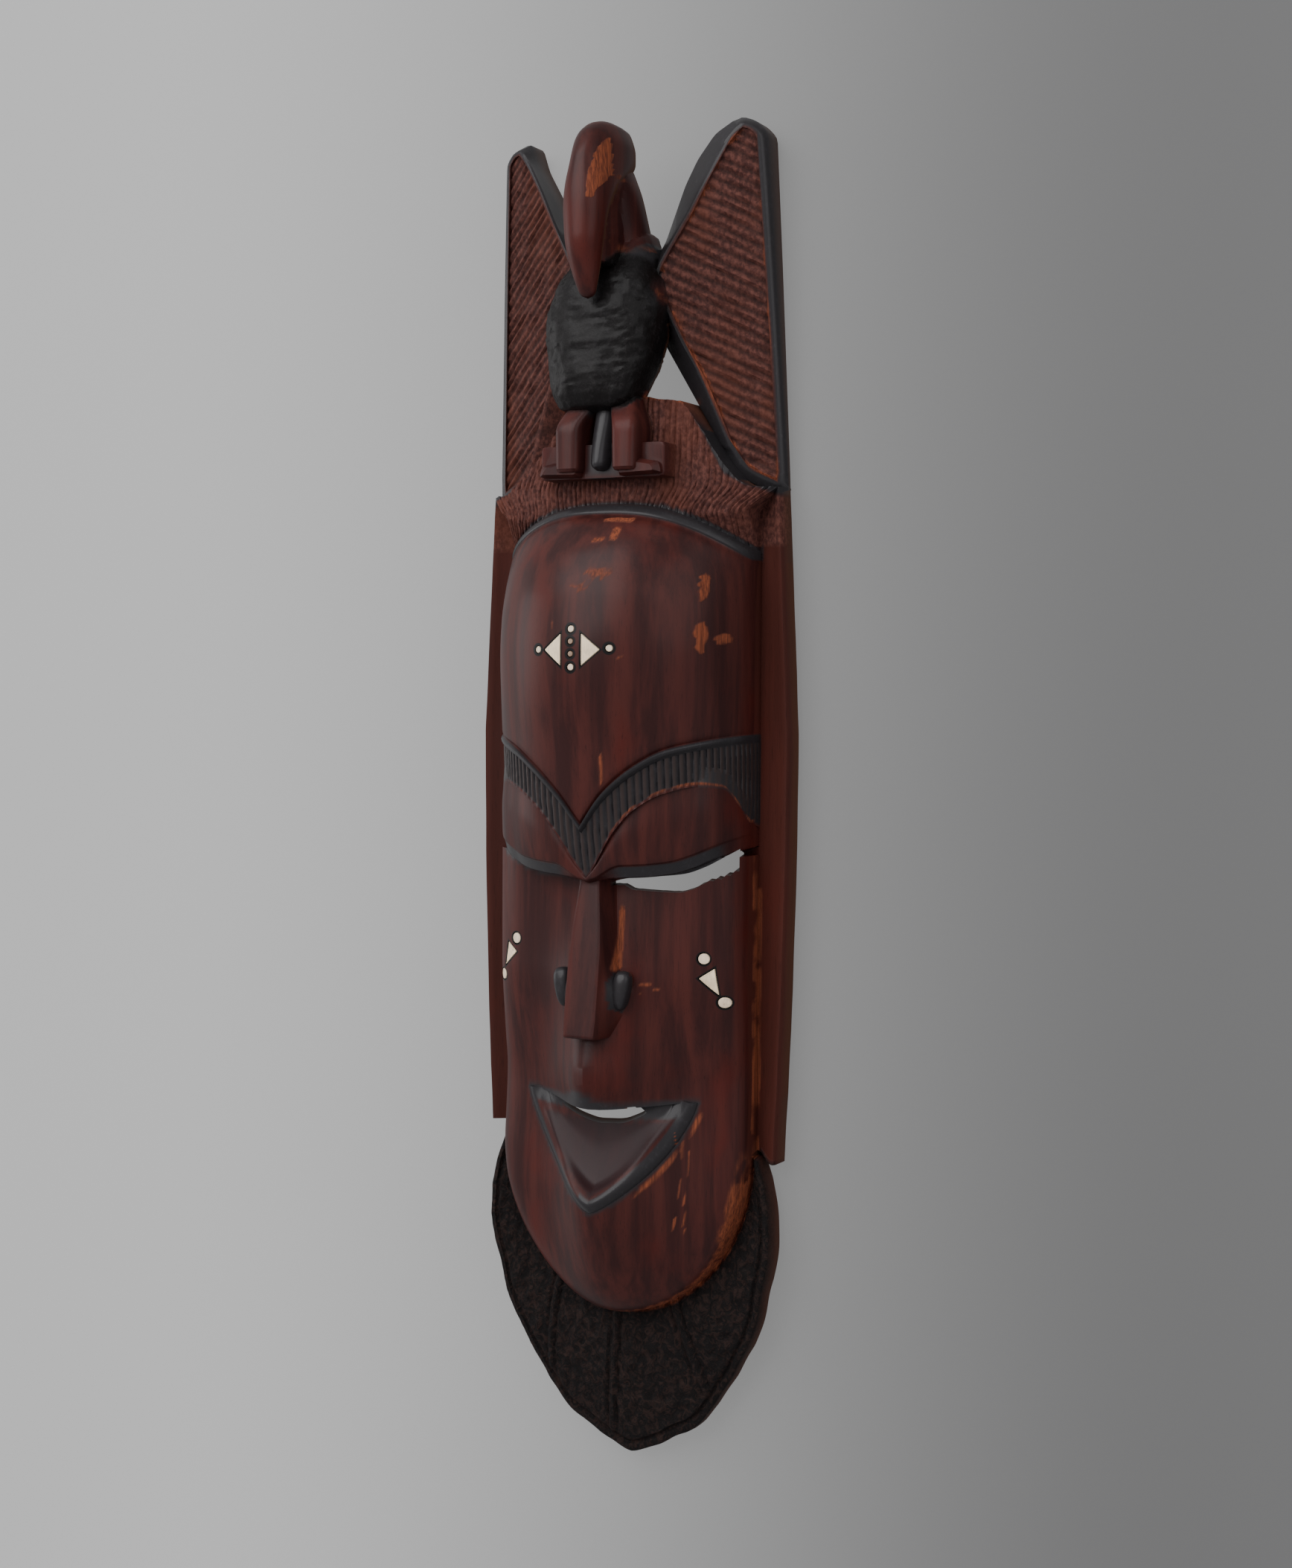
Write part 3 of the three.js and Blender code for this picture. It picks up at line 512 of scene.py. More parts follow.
# Which groove a spot of the wing lies in, counted from the wing's low end.
def featherPlace(side, x, y):
    pitch, steep = featherLook[side]
    rise = pitch * math.hypot(1, steep)
    u = (x - 6) / 56
    along_ = (y - 110 + steep * 56 * u) / rise
    return along_ + rumple(u * 9, along_ * 1.3, side * 4, 1.6, 0.9 / rise)


def wing(side):
    steepInside = side < 0
    feathers = {"deep": 1.1, "rows": 6}
    joint = np.arange(17)[:, None] > 11
    outer = softened(np.where(joint & steepInside, wingRim, wingOuter))
    rim = softened(wingRim)
    label = np.repeat(np.arange(17), len(rim) // 17)
    edge = np.minimum(wingZ(*outer.T) - 1.5, np.where(label > 7, 14, 13))
    band = inset(rim, -0.3)
    rings = [np.column_stack([inset(outer, 2), np.zeros(len(outer))]),
             np.column_stack([outer, np.full(len(outer), float(size["backBevel"]))]),
             np.column_stack([outer, edge]),
             np.column_stack([mix(outer, band, 0.94), mix(edge, wingZ(*band.T), 0.9)]),
             np.column_stack([inset(rim, 0.3), wingZ(*inset(rim, 0.3).T)])]
    body = stackedOutlines("wing", [flipped(ring, side) for ring in rings])
    # The last ring is flat across its middle, so the field's cut starts well above it.
    region = stackedOutlines("field", upright(flipped(inset(rim, 1.5), side), 2, 60))
    pitch, steep = featherLook[side]
    rise = pitch * math.hypot(1, steep)
    count = math.ceil((136 + steep * 56) / rise)

    def point(u, v):
        y = 110 + v * count * rise - steep * 56 * u
        x = mix(6, 62, u)
        cut = (0.5 + 0.5 * np.cos(2 * math.pi * featherPlace(side, x, y))) ** 0.8
        cut = cut * (0.75 + rumple(x, y, side, 5, 0.7))
        rough = rumple(x * 1.5, y * 1.5, side, 4, 0.28) + rumple(x * 0.4, y, side + 7, 1.5, 0.16)
        return side * x, y, wingZ(x, y) - 0.85 - feathers["deep"] * cut + rough

    ridged = closedSheet("feathers", count * feathers["rows"], 46, point, lambda x, y, z: (x, y, z + 50))
    return combine(body, combine(ridged, region, "INTERSECT"), "DIFFERENCE")


# Half the breast's width from its low end to its top.
breastHalf = ((0, 13.5), (0.12, 17.8), (0.35, 22), (0.55, 22.8), (0.8, 17), (1, 10))


def breast():
    half = through(*breastHalf)
    high = through((0, 39), (0.12, 43.4), (0.4, 44.2), (0.65, 42.5), (0.8, 37), (1, 28))
    low = through((0, 21), (0.4, 11), (1, 4))
    ob = roundBar("breast", 76, 84, lambda t: {
        "y": mix(142.6, 212, t), "x": mix(-4.4, -0.6, t), "half": half(t), "low": low(t), "high": high(t),
        "square": 2.7}, 0.045)
    x, y, z = (coordsOf(ob) / mm).T
    curl = y + 1.6 * np.sin(x / 5) + rumple(x, y, z, 6, 6)
    cut = 0.5 * (1 - grooved(curl / 3.2, 0.7)) + np.abs(rumple(x, y, z, 2.1, 0.6)) + rumple(x, y, z, 8, 0.9)
    place(ob, np.column_stack([x * (1 - cut / 40), y, z - cut * np.sign(z - 22)]) * mm)
    return ob


def head():
    half = through((0, 2.6), (0.15, 5.2), (0.35, 7.2), (0.6, 8.3), (0.85, 8.2), (0.95, 6), (1, 3))
    high = through((0, 49), (0.12, 53), (0.33, 57.2), (0.5, 57.4), (0.75, 55), (0.9, 50), (1, 41))
    low = through((0, 46), (0.15, 45), (0.45, 42), (0.62, 34), (0.8, 18), (0.95, 20), (1, 28))
    return roundBar("head", 72, 64, lambda t: {
        "y": mix(182.2, 247.6, t), "half": half(t), "low": low(t), "high": high(t), "square": 2.2}, 0.04)


def neck():
    half = through((0, 13), (0.3, 10.5), (0.7, 9), (1, 6))
    return roundBar("neck", 40, 48, lambda t: {
        "y": mix(197, 233, t), "half": half(t), "low": mix(5, 19, t), "high": mix(31, 43, t),
        "square": 2.2}, 0.05)


# The wood left standing under the beak, hollowed on both sides.
def web():
    ob = roundBar("web", 44, 48, lambda t: {
        "y": mix(194, 231, t), "half": mix(6.2, 7.8, t), "low": 22, "high": mix(49.5, 52.5, t),
        "square": 2.5}, 0.05)
    x, y, z = (coordsOf(ob) / mm).T
    dent = np.sign(x) * (1.4 * near(y - 214, 7) * near(z - 41, 6) + np.abs(rumple(1, y, z, 2.4, 0.7)))
    place(ob, np.column_stack([x - dent, y, z]) * mm)
    return ob


def tail():
    half = through((0, 3), (0.15, 4.6), (0.6, 4.9), (1, 4.4))
    return roundBar("tail", 36, 32, lambda t: {
        "y": mix(121.2, 153, t), "half": half(t), "low": 22, "high": mix(42, 35, ease(t)),
        "square": 2.1}, 0.08)


def leg(x):
    return roundBar("leg", 30, 32, lambda t: {
        "y": mix(120.6, 151, t), "x": x - np.sign(x) * 4.5 * ease((t - 0.5) * 2), "half": mix(5.0, 5.6, t),
        "low": 26, "high": mix(42.8, 35, ease((t - 0.5) * 2)), "square": 4.2}, 0.06)


def ledge():
    plan = softened(np.array([(-25.5, 119.2), (-25.5, 131.6), (25.5, 131.6), (25.5, 119.2)]), 1.4, 14)
    rings = [np.column_stack([plan * s + [0, 125.4 * (1 - s)], np.full(len(plan), z)])
             for s, z in ((1, 8), (1, 35.8), (0.99, 36.3), (0.975, 36.5))]
    return stackedOutlines("ledge", rings)


def foot(side):
    plan = softened(np.array([(8, 119.6), (8, 127), (24, 124.3), (25.2, 120.2)]), 1.2, 8)
    crown = softened(np.array([(9, 120.6), (10, 125), (21.5, 123.2), (23, 121)]), 0.8, 8)
    rings = [np.column_stack([outline, np.full(len(outline), z)])
             for outline, z in ((plan, 30.0), (plan, 38.4), (crown, 40.4))]
    return stackedOutlines("foot", [flipped(ring, side) for ring in rings])


def hollow():
    high = through((-152, 10), (-140, 20), (-110, 24), (-60, 26), (-20, 30), (20, 42), (60, 46), (85, 38),
                   (100, 12))
    half = through((-152, 14), (-140, 32), (-110, 42), (-60, 44.5), (30, 44.5), (75, 42), (100, 20))

    def point(u, v):
        y = mix(-152, 100, np.clip(0.5 - 0.5 * np.cos(math.pi * mix(0.04, 0.96, v)) * 1.008, 0, 1))
        turn = (u - 0.5) * 3.0
        t = np.sign(turn) * np.abs(np.sin(turn)) ** 0.85
        z = high(y) * (1 - np.minimum(np.abs(t), 0.995) ** 3.2) ** 0.32
        gouge = 0.5 * bump((np.modf(y / 9 + 40 + rumple(t * 3, y, 1, 9, 0.8))[0] - 0.5) * 2)
        return half(y) * t, y, np.maximum(2, z - gouge)

    return closedSheet("hollow", 78, 52, point, lambda x, y, z: (x, y, -2))


def eyeSlit():
    x = np.linspace(1, 50.5, 32)
    ragged = slitLine(x) - 0.5 * (x > 36.5) * np.sin(x * 1.9) - np.abs(rumple(x, 0, 0, 2.4, 0.35))
    outline = np.concatenate([np.column_stack([x, lidLine(x) + 0.1]), np.column_stack([x, ragged])[::-1]])
    return stackedOutlines("eyeSlit", upright(outline, 6, 60, 0.34))


def mouthGap():
    t = np.linspace(-1, 1, 25)
    low = np.column_stack([17.5 * t, -118.4 + 5.2 * np.abs(t) ** 2.2 + rumple(t * 9, 0, 0, 3, 0.25)])
    tops = np.linspace(13, -13, 13)
    outline = np.concatenate([low, np.column_stack([tops, mouthTop(tops) + 0.6])])
    return stackedOutlines("mouthGap", upright(outline - [3.4, 0], -1, 38, 0.45))


holeCorners = np.array([(12.5, 169), (22, 155), (27.5, 147), (17, 148.5), (5.5, 150.5), (6.5, 161)])


def sideHole(side):
    outline = softened(holeCorners, 1.6, 6)
    outline[:, 1] += rumple(outline[:, 0], outline[:, 1], 0, 3, 0.35)
    return stackedOutlines("sideHole", upright(flipped(outline, side), -1, 60))


def ringOf(x, y, r, count=24):
    turn = -2 * math.pi * np.arange(count) / count
    return np.column_stack([x + r * np.cos(turn), y + r * np.sin(turn)])


diamond = np.array([(4.2, 62.2), (11.2, 56.5), (4.2, 50.8)])
inlays = {
    "inlay_forehead_triangle_right": (1, diamond),
    "inlay_forehead_triangle_left": (-1, diamond),
    "inlay_forehead_dot_right": (1, ringOf(14.6, 57, 1.2)),
    "inlay_forehead_dot_left": (-1, ringOf(14.2, 56.6, 1.2)),
    "inlay_forehead_dot_top": (1, ringOf(0, 63.9, 1.2)),
    "inlay_forehead_dot_bottom": (1, ringOf(0, 50.3, 1.2)),
    "inlay_forehead_pin_top": (1, ringOf(0, 59.5, 1)),
    "inlay_forehead_pin_bottom": (1, ringOf(0, 55, 1)),
    "inlay_cheek_dot_top_right": (1, ringOf(39.8, -54.8, 2)),
    "inlay_cheek_triangle_right": (1, np.array([(38, -62), (43.4, -58.3), (44.7, -68)])),
    "inlay_cheek_dot_low_right": (1, ringOf(46.3, -70.8, 2)),
    "inlay_cheek_dot_top_left": (-1, ringOf(38.8, -51.8, 2)),
    "inlay_cheek_triangle_left": (-1, np.array([(38.8, -57), (43.2, -53.6), (45, -62.5)])),
    "inlay_cheek_dot_low_left": (-1, ringOf(46.9, -66.4, 2)),
}


def boneOutline(name):
    side, outline = inlays[name]
    return side, outline if len(outline) > 3 else softened(outline, 0.25, 6)


def boneRings(name, steps):
    side, outline = boneOutline(name)
    surface = foreheadZ if outline[0][1] > 0 else cheekZ
    base = surface(*outline.T)
    rings = []
    for grow, off in steps:
        grown = inset(outline, -grow)
        rings.append(np.column_stack([grown[:, 0] * side, grown[:, 1], base + off]))
    return rings


def flattenBack(mask):
    bpy.ops.object.select_all(action="DESELECT")
    heights = coordsOf(mask)[:, 2]
    flat = [bool(np.all(heights[list(face.vertices)] < 0.03 * mm)) for face in mask.data.polygons]
    for domain, count in (("vertices", len(heights)), ("edges", len(mask.data.edges))):
        getattr(mask.data, domain).foreach_set("select", np.zeros(count, bool))
    mask.data.polygons.foreach_set("select", flat)
    bpy.context.view_layer.objects.active = mask
    mask.select_set(True)
    bpy.ops.object.mode_set(mode="EDIT")
    bpy.ops.mesh.select_mode(type="FACE")
    bpy.ops.mesh.dissolve_limited(angle_limit=math.radians(0.5))
    bpy.ops.object.mode_set(mode="OBJECT")


def joined(obs):
    bpy.ops.object.select_all(action="DESELECT")
    for ob in obs:
        ob.select_set(True)
    bpy.context.view_layer.objects.active = obs[0]
    bpy.ops.object.join()
    return obs[0]


def united(parts):
    whole = parts[0]
    for part in parts[1:]:
        whole = combine(whole, part, "UNION")
    return whole


def carve():
    face = combine(cheeks(), stackedOutlines("mouthCut", upright(mouthOutline(-1.8), 16, 70)), "DIFFERENCE")
    features = united([nose(), nostril(1), nostril(-1)])
    face = united([face, lips(), features, browHatch(), lids(), forehead()])
    print("face", len(face.data.polygons))
    crown = combine(united([hair(), wing(1), wing(-1)]), joined([sideHole(1), sideHole(-1)]), "DIFFERENCE")
    bird = united([breast(), head(), neck(), web(), tail(), leg(-12), leg(11.3), ledge(), foot(1), foot(-1)])
    print("crown and bird", len(crown.data.polygons), len(bird.data.polygons))
    mask = united([face, beard(), shields(), crown, bird])
    mask = combine(mask, united([hollow(), eyeSlit(), mouthGap()]), "DIFFERENCE")
    steps = ((size["inlayGap"], -size["inlayDeep"] - 0.3), (size["inlayGap"], 6))
    pockets = joined([stackedOutlines("pocket", boneRings(name, steps)) for name in inlays])
    mask = combine(mask, pockets, "DIFFERENCE")
    flattenBack(mask)
    mask.name = "carvedMask"
    mask.data.name = "carvedMask"
    print("carved", len(mask.data.polygons), "faces")
    return mask


def insideBy(outline, x, y):
    best, inside = np.full(len(x), 1e9), np.zeros(len(x), bool)
    for (ax, ay), (bx, by) in zip(outline, np.roll(outline, -1, axis=0)):
        ex, ey = bx - ax, by - ay
        t = np.clip(((x - ax) * ex + (y - ay) * ey) / (ex * ex + ey * ey + 1e-12), 0, 1)
        best = np.minimum(best, np.hypot(x - ax - ex * t, y - ay - ey * t))
        inside ^= ((ay > y) != (by > y)) & (x < ex * (y - ay) / (by - ay + 1e-12) + ax)
    return np.where(inside, best, -best)


def between(value, low, high, soft=0.6):
    return ease((value - low) / soft + 0.5) * ease((high - value) / soft + 0.5)


def near(value, width):
    return np.exp(-((value / width) ** 2))


# Chips and scratches down to the orange wood: centre, half width, half height, strength.
chips = (
    (41.2, 79.2, 1.7, 5, 0.9), (41.6, 61.5, 2, 6.6, 0.85), (46.2, 60.6, 2.2, 2.4, 0.65),
    (9.6, 13, 0.6, 7, 0.7), (9, 103.5, 7, 1.2, 0.85), (10.5, 99, 2, 3.2, 0.75), (5, 96, 3.5, 1.4, 0.7),
    (8, 84, 6, 3.4, 0.5), (2, 79, 4, 2.4, 0.45), (17.5, 53.6, 2, 1.1, 0.5), (28.2, -124, 0.5, 6, 0.6),
    (30.6, -128, 0.45, 8, 0.6), (32.6, -132, 0.4, 7, 0.55), (29.6, -139, 0.5, 9, 0.55),
    (31.6, -147, 0.5, 6, 0.7), (27.6, -153, 0.7, 4.5, 0.85), (31, -154, 0.5, 4, 0.7), (-7.8, 64, 0.4, 5, 0.6),
    (19, -64.6, 2.8, 1.3, 0.65), (22.4, -66.6, 1.6, 1, 0.6), (17.6, -68.5, 0.6, 2.4, 0.5),
    (-18, -84, 0.7, 2, 0.4))


def paint(mask):
    x, y, z = (coordsOf(mask) / mm).T
    normals = np.empty(len(x) * 3)
    mask.data.vertices.foreach_get("normal", normals)
    facing = normals.reshape(-1, 3)
    wide = np.abs(x)
    speck = rumple(x, y, z, 2.2)
    blotch = rumple(x, y, z, 7)
    top, rim, low = archLine(np.minimum(wide, 50.4)), browLine(wide), hatchLine(wide)
    onFace = (wide < 51.7) * ease((z - 7.5) / 1)

    arch = between(top - y, -0.9, 4.3) * onFace
    brow = between(y, low - 0.2, rim - 0.5) * onFace * (y < 40)
    band = between(y, lidLine(wide) - 1.6, creaseLine(wide), 0.7) * (y < 0) * (z > 12)
    band = band * ease((wide - 8) / 6) * ease((47.5 - wide) / 3)
    wing_ = insideBy(wingOuter, wide, y)
    field_ = insideBy(inset(wingRim, 1.35), wide, y)
    rims = ease(wing_ / 0.8 + 1) * ease(-field_ / 0.5 + 0.5) * (y > 112.5) * (z > 3)
    lowLeft = (x < 0) * (y < 172) * (wide < 50)
    rims = rims * (1 - lowLeft)
    swell = (np.abs((wide - 12.1) / 4.3) ** 2.4 + np.abs((y + 67) / 7.9) ** 2.4) < 1
    nostrils = swell * (z > cheekZ(x, y) + 0.25) * (z < 46.5) * (wide > 8)
    # Partly painted shadow: the black band under the upper lip's overhang is a real black stain, with the
    # overhang's shadow painted into it, thickest just left of the middle.
    upper = y - mouthTop(x)
    thick = (1.2 + 4.6 * near(x + 4.5, 8)) * bump(x / 40) + 0.8
    upperLip = between(upper, -1.2, thick, 2.2) * (wide < 37) * (z > 24)
    rimIn = insideBy(mouthOutline(0.4), x, y)
    lowerLip = between(rimIn, -0.2, size["lipBand"] - np.where(x > -4, 0.3, 1.8), 0.9)
    lowerLip = lowerLip * (y < size["mouthTopY"] - 0.4) * (z > 21)
    t = (y - 142) / 70
    breastEdge = np.interp(t, *zip(*breastHalf)) + 0.9
    birdBody = between(y, 143.6, 199 + blotch * 5, 3) * (np.abs(x + mix(4.4, 0.6, t)) < breastEdge)
    birdBody = birdBody * (z < 44.9) * ((z > 30) | (y > 151))
    birdBody = birdBody * (1 - 0.8 * ease((x - 17) / 3) * ease((y - 176) / 12))
    tailDark = between(wide, -9, 5.1, 0.6) * (y > 118.5) * (y < 149) * (z > 33)
    stain = np.max([arch, brow, band, rims, nostrils, upperLip, lowerLip, birdBody, tailDark], axis=0)

    inWing = ease(field_ / 0.5 + 0.5) * (y > 112)
    inWing = np.maximum(inWing, lowLeft * (wing_ > 0) * (z > 5) * (1 - birdBody))
    strands = (y > top + 0.8) * (y < 152) * (z < hairZ(x, y) + 1.4) * (wing_ < 0.3) * (y > 95)
    field = np.maximum(inWing * (z < wingZ(wide, y) + 1.5), strands) * (1 - stain)
    panelEnd = np.where(x > 0, -127.7 - 4 * ease((wide - 52) / 10), -126.2)
    reached = faceReach(x, y)
    beard_ = ease((reached - 1.005) / 0.02) * ((y < panelEnd) | ((wide < 52.5) & (y < -127))) * (z < 21)
    beard_ = beard_ * ease((facing[:, 2] - 0.1) * 4)
    plank = (wide > 51.2) * (y < 113) * (y > -133) + (reached > 1.03) * (y < -127) * (z < 21)
    plank = plank * (1 - beard_)

    bare = np.zeros(len(x))
    for cx, cy, rx, ry, strength in chips:
        reach = np.hypot((x - cx) / rx, (y - cy) / ry) + 0.45 * speck
        bare = np.maximum(bare, strength * ease((1.05 - reach) * 3) * (z > 12) * (facing[:, 2] > 0.1))
    right = ease((x + 8) / 20)
    chin = near(reached - 1.0, 0.027) * ease((-128 - y) / 12) * mix(0.75, 1, right) * (z < 26)
    worn = near(reached - 0.98, 0.045) * right * near(y + 146, 18) * (x > 30) * (z < 24)
    crease = near(wide - 51.6, 1.6) * (z < 13.5) * (y < 10) * (y > -130)
    crease = crease * mix(0.15, 0.8, right) * ease((10 - y) / 50)
    hatchEdge = near(y - low, 0.9) * ease((wide - 6) / 8) * onFace * (y < 12) * (z > 12)
    hatchEdge = hatchEdge * mix(0.2, 0.6, right)
    noseEdge = 1.1 * near(x - 9.2, 1) * between(y, -60, -34, 3) * (z < 46)
    lipEdge = near(rimIn + 1.6, 1.3) * (x > 8) * (y < -112) * (z > 25) * 0.75
    patch = np.hypot((x - 6.5 - (y - 228) * 0.13) / 2.1, (y - 228) / 12)
    crest = ease((1.1 - patch - 0.25 * speck) * 6) * (z > 44)
    throat = near(y - 226, 1.4 + blotch) * (x > 3) * (z < 49) + near(y - 202, 3) * (x > 2) * (z < 44) * 0.8
    throat = 0.55 * throat * (wide < 14) * (z > 18)
    hole = insideBy(holeCorners, wide, y)
    holeEdge = near(hole, 1.0) * 0.7 * (z < 37) * (1 - birdBody)
    fieldLine = near(field_ - 0.4, 0.5) * mix(0.35, 0.75, right) * (y > 112) * (1 - birdBody) * (1 - lowLeft)
    lowWing = near(x - 20, 9) * near(y - 172, 16) * 0.5 * inWing
    ragged = ease(0.75 + blotch * 1.3)
    edges = [worn, crease, hatchEdge, noseEdge, lipEdge, throat, holeEdge, fieldLine, lowWing]
    streaks = np.max(edges, axis=0) * ragged
    bare = np.max([bare, chin * (0.7 + 0.6 * speck), streaks, crest], axis=0) * (facing[:, 2] > -0.2)

    back = ease((-facing[:, 2] - 0.1) * 4)
    # Painted highlight: the ridge tops of the hatched brow are painted a lighter brownish grey than the black
    # between them.
    turn = np.arcsin(np.clip(x / size["faceHalf"], -1, 1))
    ridge = grooved((turn / faceTurn + 0.5) * hatchStrokes, 0.9)
    ridge = ridge * between(y, low, rim - 3.4, 1) * onFace * (y < 40)
    basin = ease((rimIn - size["lipBand"]) / 1.5) * (y < size["mouthTopY"]) * (z > 20)
    # Painted shade: besides their carved depth, the wing's grooves are darkened in the colour.
    grooveShade = np.where(x > 0, featherPlace(1, wide, y), featherPlace(-1, wide, y))
    grooveShade = (0.5 + 0.5 * np.cos(2 * math.pi * grooveShade)) ** 2 * inWing
    masks = {"grooveShade": grooveShade, "matte": birdBody, "basin": basin, "ridge": ridge, "stain": stain,
             "field": field, "beard": beard_, "plank": plank, "bare": bare, "back": back}
    for name, values in masks.items():
        layer = mask.data.attributes.new(name, "FLOAT", "POINT")
        layer.data.foreach_set("value", np.clip(values, 0, 1).astype(np.float32))


class Value:
    def __init__(self, board, socket):
        self.board = board
        self.socket = socket

    def maths(self, operation, *others):
        return self.board.node("ShaderNodeMath", {"operation": operation}, dict(enumerate([self, *others])))

    def __add__(self, other):
        return self.maths("ADD", other)

    def __sub__(self, other):
        return self.maths("SUBTRACT", other)

    def __rsub__(self, other):
        return self.board.node("ShaderNodeMath", {"operation": "SUBTRACT"}, {0: other, 1: self})

    def __mul__(self, other):
        return self.maths("MULTIPLY", other)

    def over(self, low, high):
        sockets = {"Value": self, "From Min": low, "From Max": high}
        return self.board.node("ShaderNodeMapRange", {"interpolation_type": "SMOOTHSTEP"}, sockets)

    __radd__ = __add__
    __rmul__ = __mul__


class Board:
    def __init__(self, name, **constants):
        self.material = bpy.data.materials.new(name)
        self.material.use_nodes = True
        self.tree = self.material.node_tree
        self.tree.nodes.clear()
        self.surface = self.tree.nodes.new("ShaderNodeBsdfPrincipled")
        output = self.tree.nodes.new("ShaderNodeOutputMaterial")
        self.tree.links.new(self.surface.outputs[0], output.inputs[0])
        self.feed(self.surface, {key.replace("_", " "): value for key, value in constants.items()})
        self.place = self.node("ShaderNodeTexCoord", {}, {}, "Object")

    def feed(self, node, sockets):
        for key, value in sockets.items():
            if isinstance(value, Value):
                self.tree.links.new(value.socket, node.inputs[key])
            else:
                node.inputs[key].default_value = value

    def node(self, kind, settings, sockets, output=0):
        made = self.tree.nodes.new(kind)
        for key, value in settings.items():
            setattr(made, key, value)
        self.feed(made, sockets)
        return Value(self, made.outputs[output])

    def mask(self, name):
        return self.node("ShaderNodeAttribute", {"attribute_name": name}, {}, "Fac")

    def noise(self, scale, detail=3.0, rough=0.55, warp=0.0, at=(0, 0, 0)):
        spot = self.node("ShaderNodeMapping", {}, {"Vector": self.place, "Scale": scale, "Location": at})
        sockets = {"Vector": spot, "Scale": 1.0, "Detail": detail, "Roughness": rough, "Distortion": warp}
        return self.node("ShaderNodeTexNoise", {}, sockets, "Fac")

    def colour(self, share, first, second):
        sides = {0: share, 6: tint(first), 7: tint(second)}
        return self.node("ShaderNodeMix", {"data_type": "RGBA", "blend_type": "MIX"}, sides, 2)

    def blend(self, share, first, second):
        return self.node("ShaderNodeMix", {"data_type": "FLOAT"}, {0: share, 2: first, 3: second})

    def bump(self, height, strength, distance, under=None):
        sockets = {"Height": height, "Strength": strength, "Distance": distance}
        return self.node("ShaderNodeBump", {}, {**sockets, **({"Normal": under} if under else {})})

    def finish(self, **sockets):
        self.feed(self.surface, {key.replace("_", " "): value for key, value in sockets.items()})
        return self.material


def tint(colour):
    if isinstance(colour, Value):
        return colour
    return tuple((c / 255 / 12.92 if c < 11 else ((c / 255 + 0.055) / 1.055) ** 2.4) for c in colour) + (1.0,)


# The dark tone for the wing's grooves is painted shade.
# The ridge tone is a painted highlight for the hatched brow's ridge tops.
woodTones = {
    "dark": (45, 21, 20), "brown": (67, 31, 27), "red": (74, 23, 17), "plank": (72, 37, 30),
    "basin": (35, 21, 23), "pore": (20, 10, 10), "stain": (35, 34, 36), "stainPale": (54, 52, 56),
    "matte": (10, 10, 10), "mattePale": (26, 24, 25), "ridge": (50, 39, 36), "field": (92, 56, 49),
    "fieldDeep": (58, 33, 30), "fieldWarm": (92, 50, 38), "grooveShade": (30, 18, 17), "beard": (20, 17, 17),
    "beardWarm": (42, 30, 27), "bare": (128, 68, 45), "bareDeep": (80, 42, 31), "back": (92, 60, 42),
    "backDeep": (60, 38, 28), "mastic": (16, 14, 14),
}


# One over each bone and a narrow ring round it, where the dark filler shows, and nothing elsewhere.
def mastic(board):
    spot = board.node("ShaderNodeVectorMath", {"operation": "MULTIPLY"}, {0: board.place, 1: (1000, 1000, 0)})
    dark = None
    for name in inlays:
        side, outline = inlays[name]
        if len(outline) > 3:
            centre = np.append(outline.mean(axis=0) * [side, 1], 0)
            ends = {0: spot, 1: tuple(centre)}
            off = board.node("ShaderNodeVectorMath", {"operation": "DISTANCE"}, ends, "Value")
            away = off - float(np.linalg.norm(outline[0] - outline.mean(axis=0)))
            reach = 1.0 if centre[1] > 0 else 0.55
        else:
            away, reach = None, 0.5
            for a, b in zip(outline, np.roll(outline, -1, axis=0)):
                way = (b - a) / np.linalg.norm(b - a)
                out = np.array([-way[1] * side, way[0], 0])
                ends = {0: spot, 1: tuple(out)}
                along_ = board.node("ShaderNodeVectorMath", {"operation": "DOT_PRODUCT"}, ends, "Value")
                gap = along_ - float(out[0] * a[0] * side + out[1] * a[1])
                away = gap if away is None else away.maths("MAXIMUM", gap)
        ring = 1 - away.over(reach, reach + 0.35)
        dark = ring if dark is None else dark.maths("MAXIMUM", ring)
    return dark


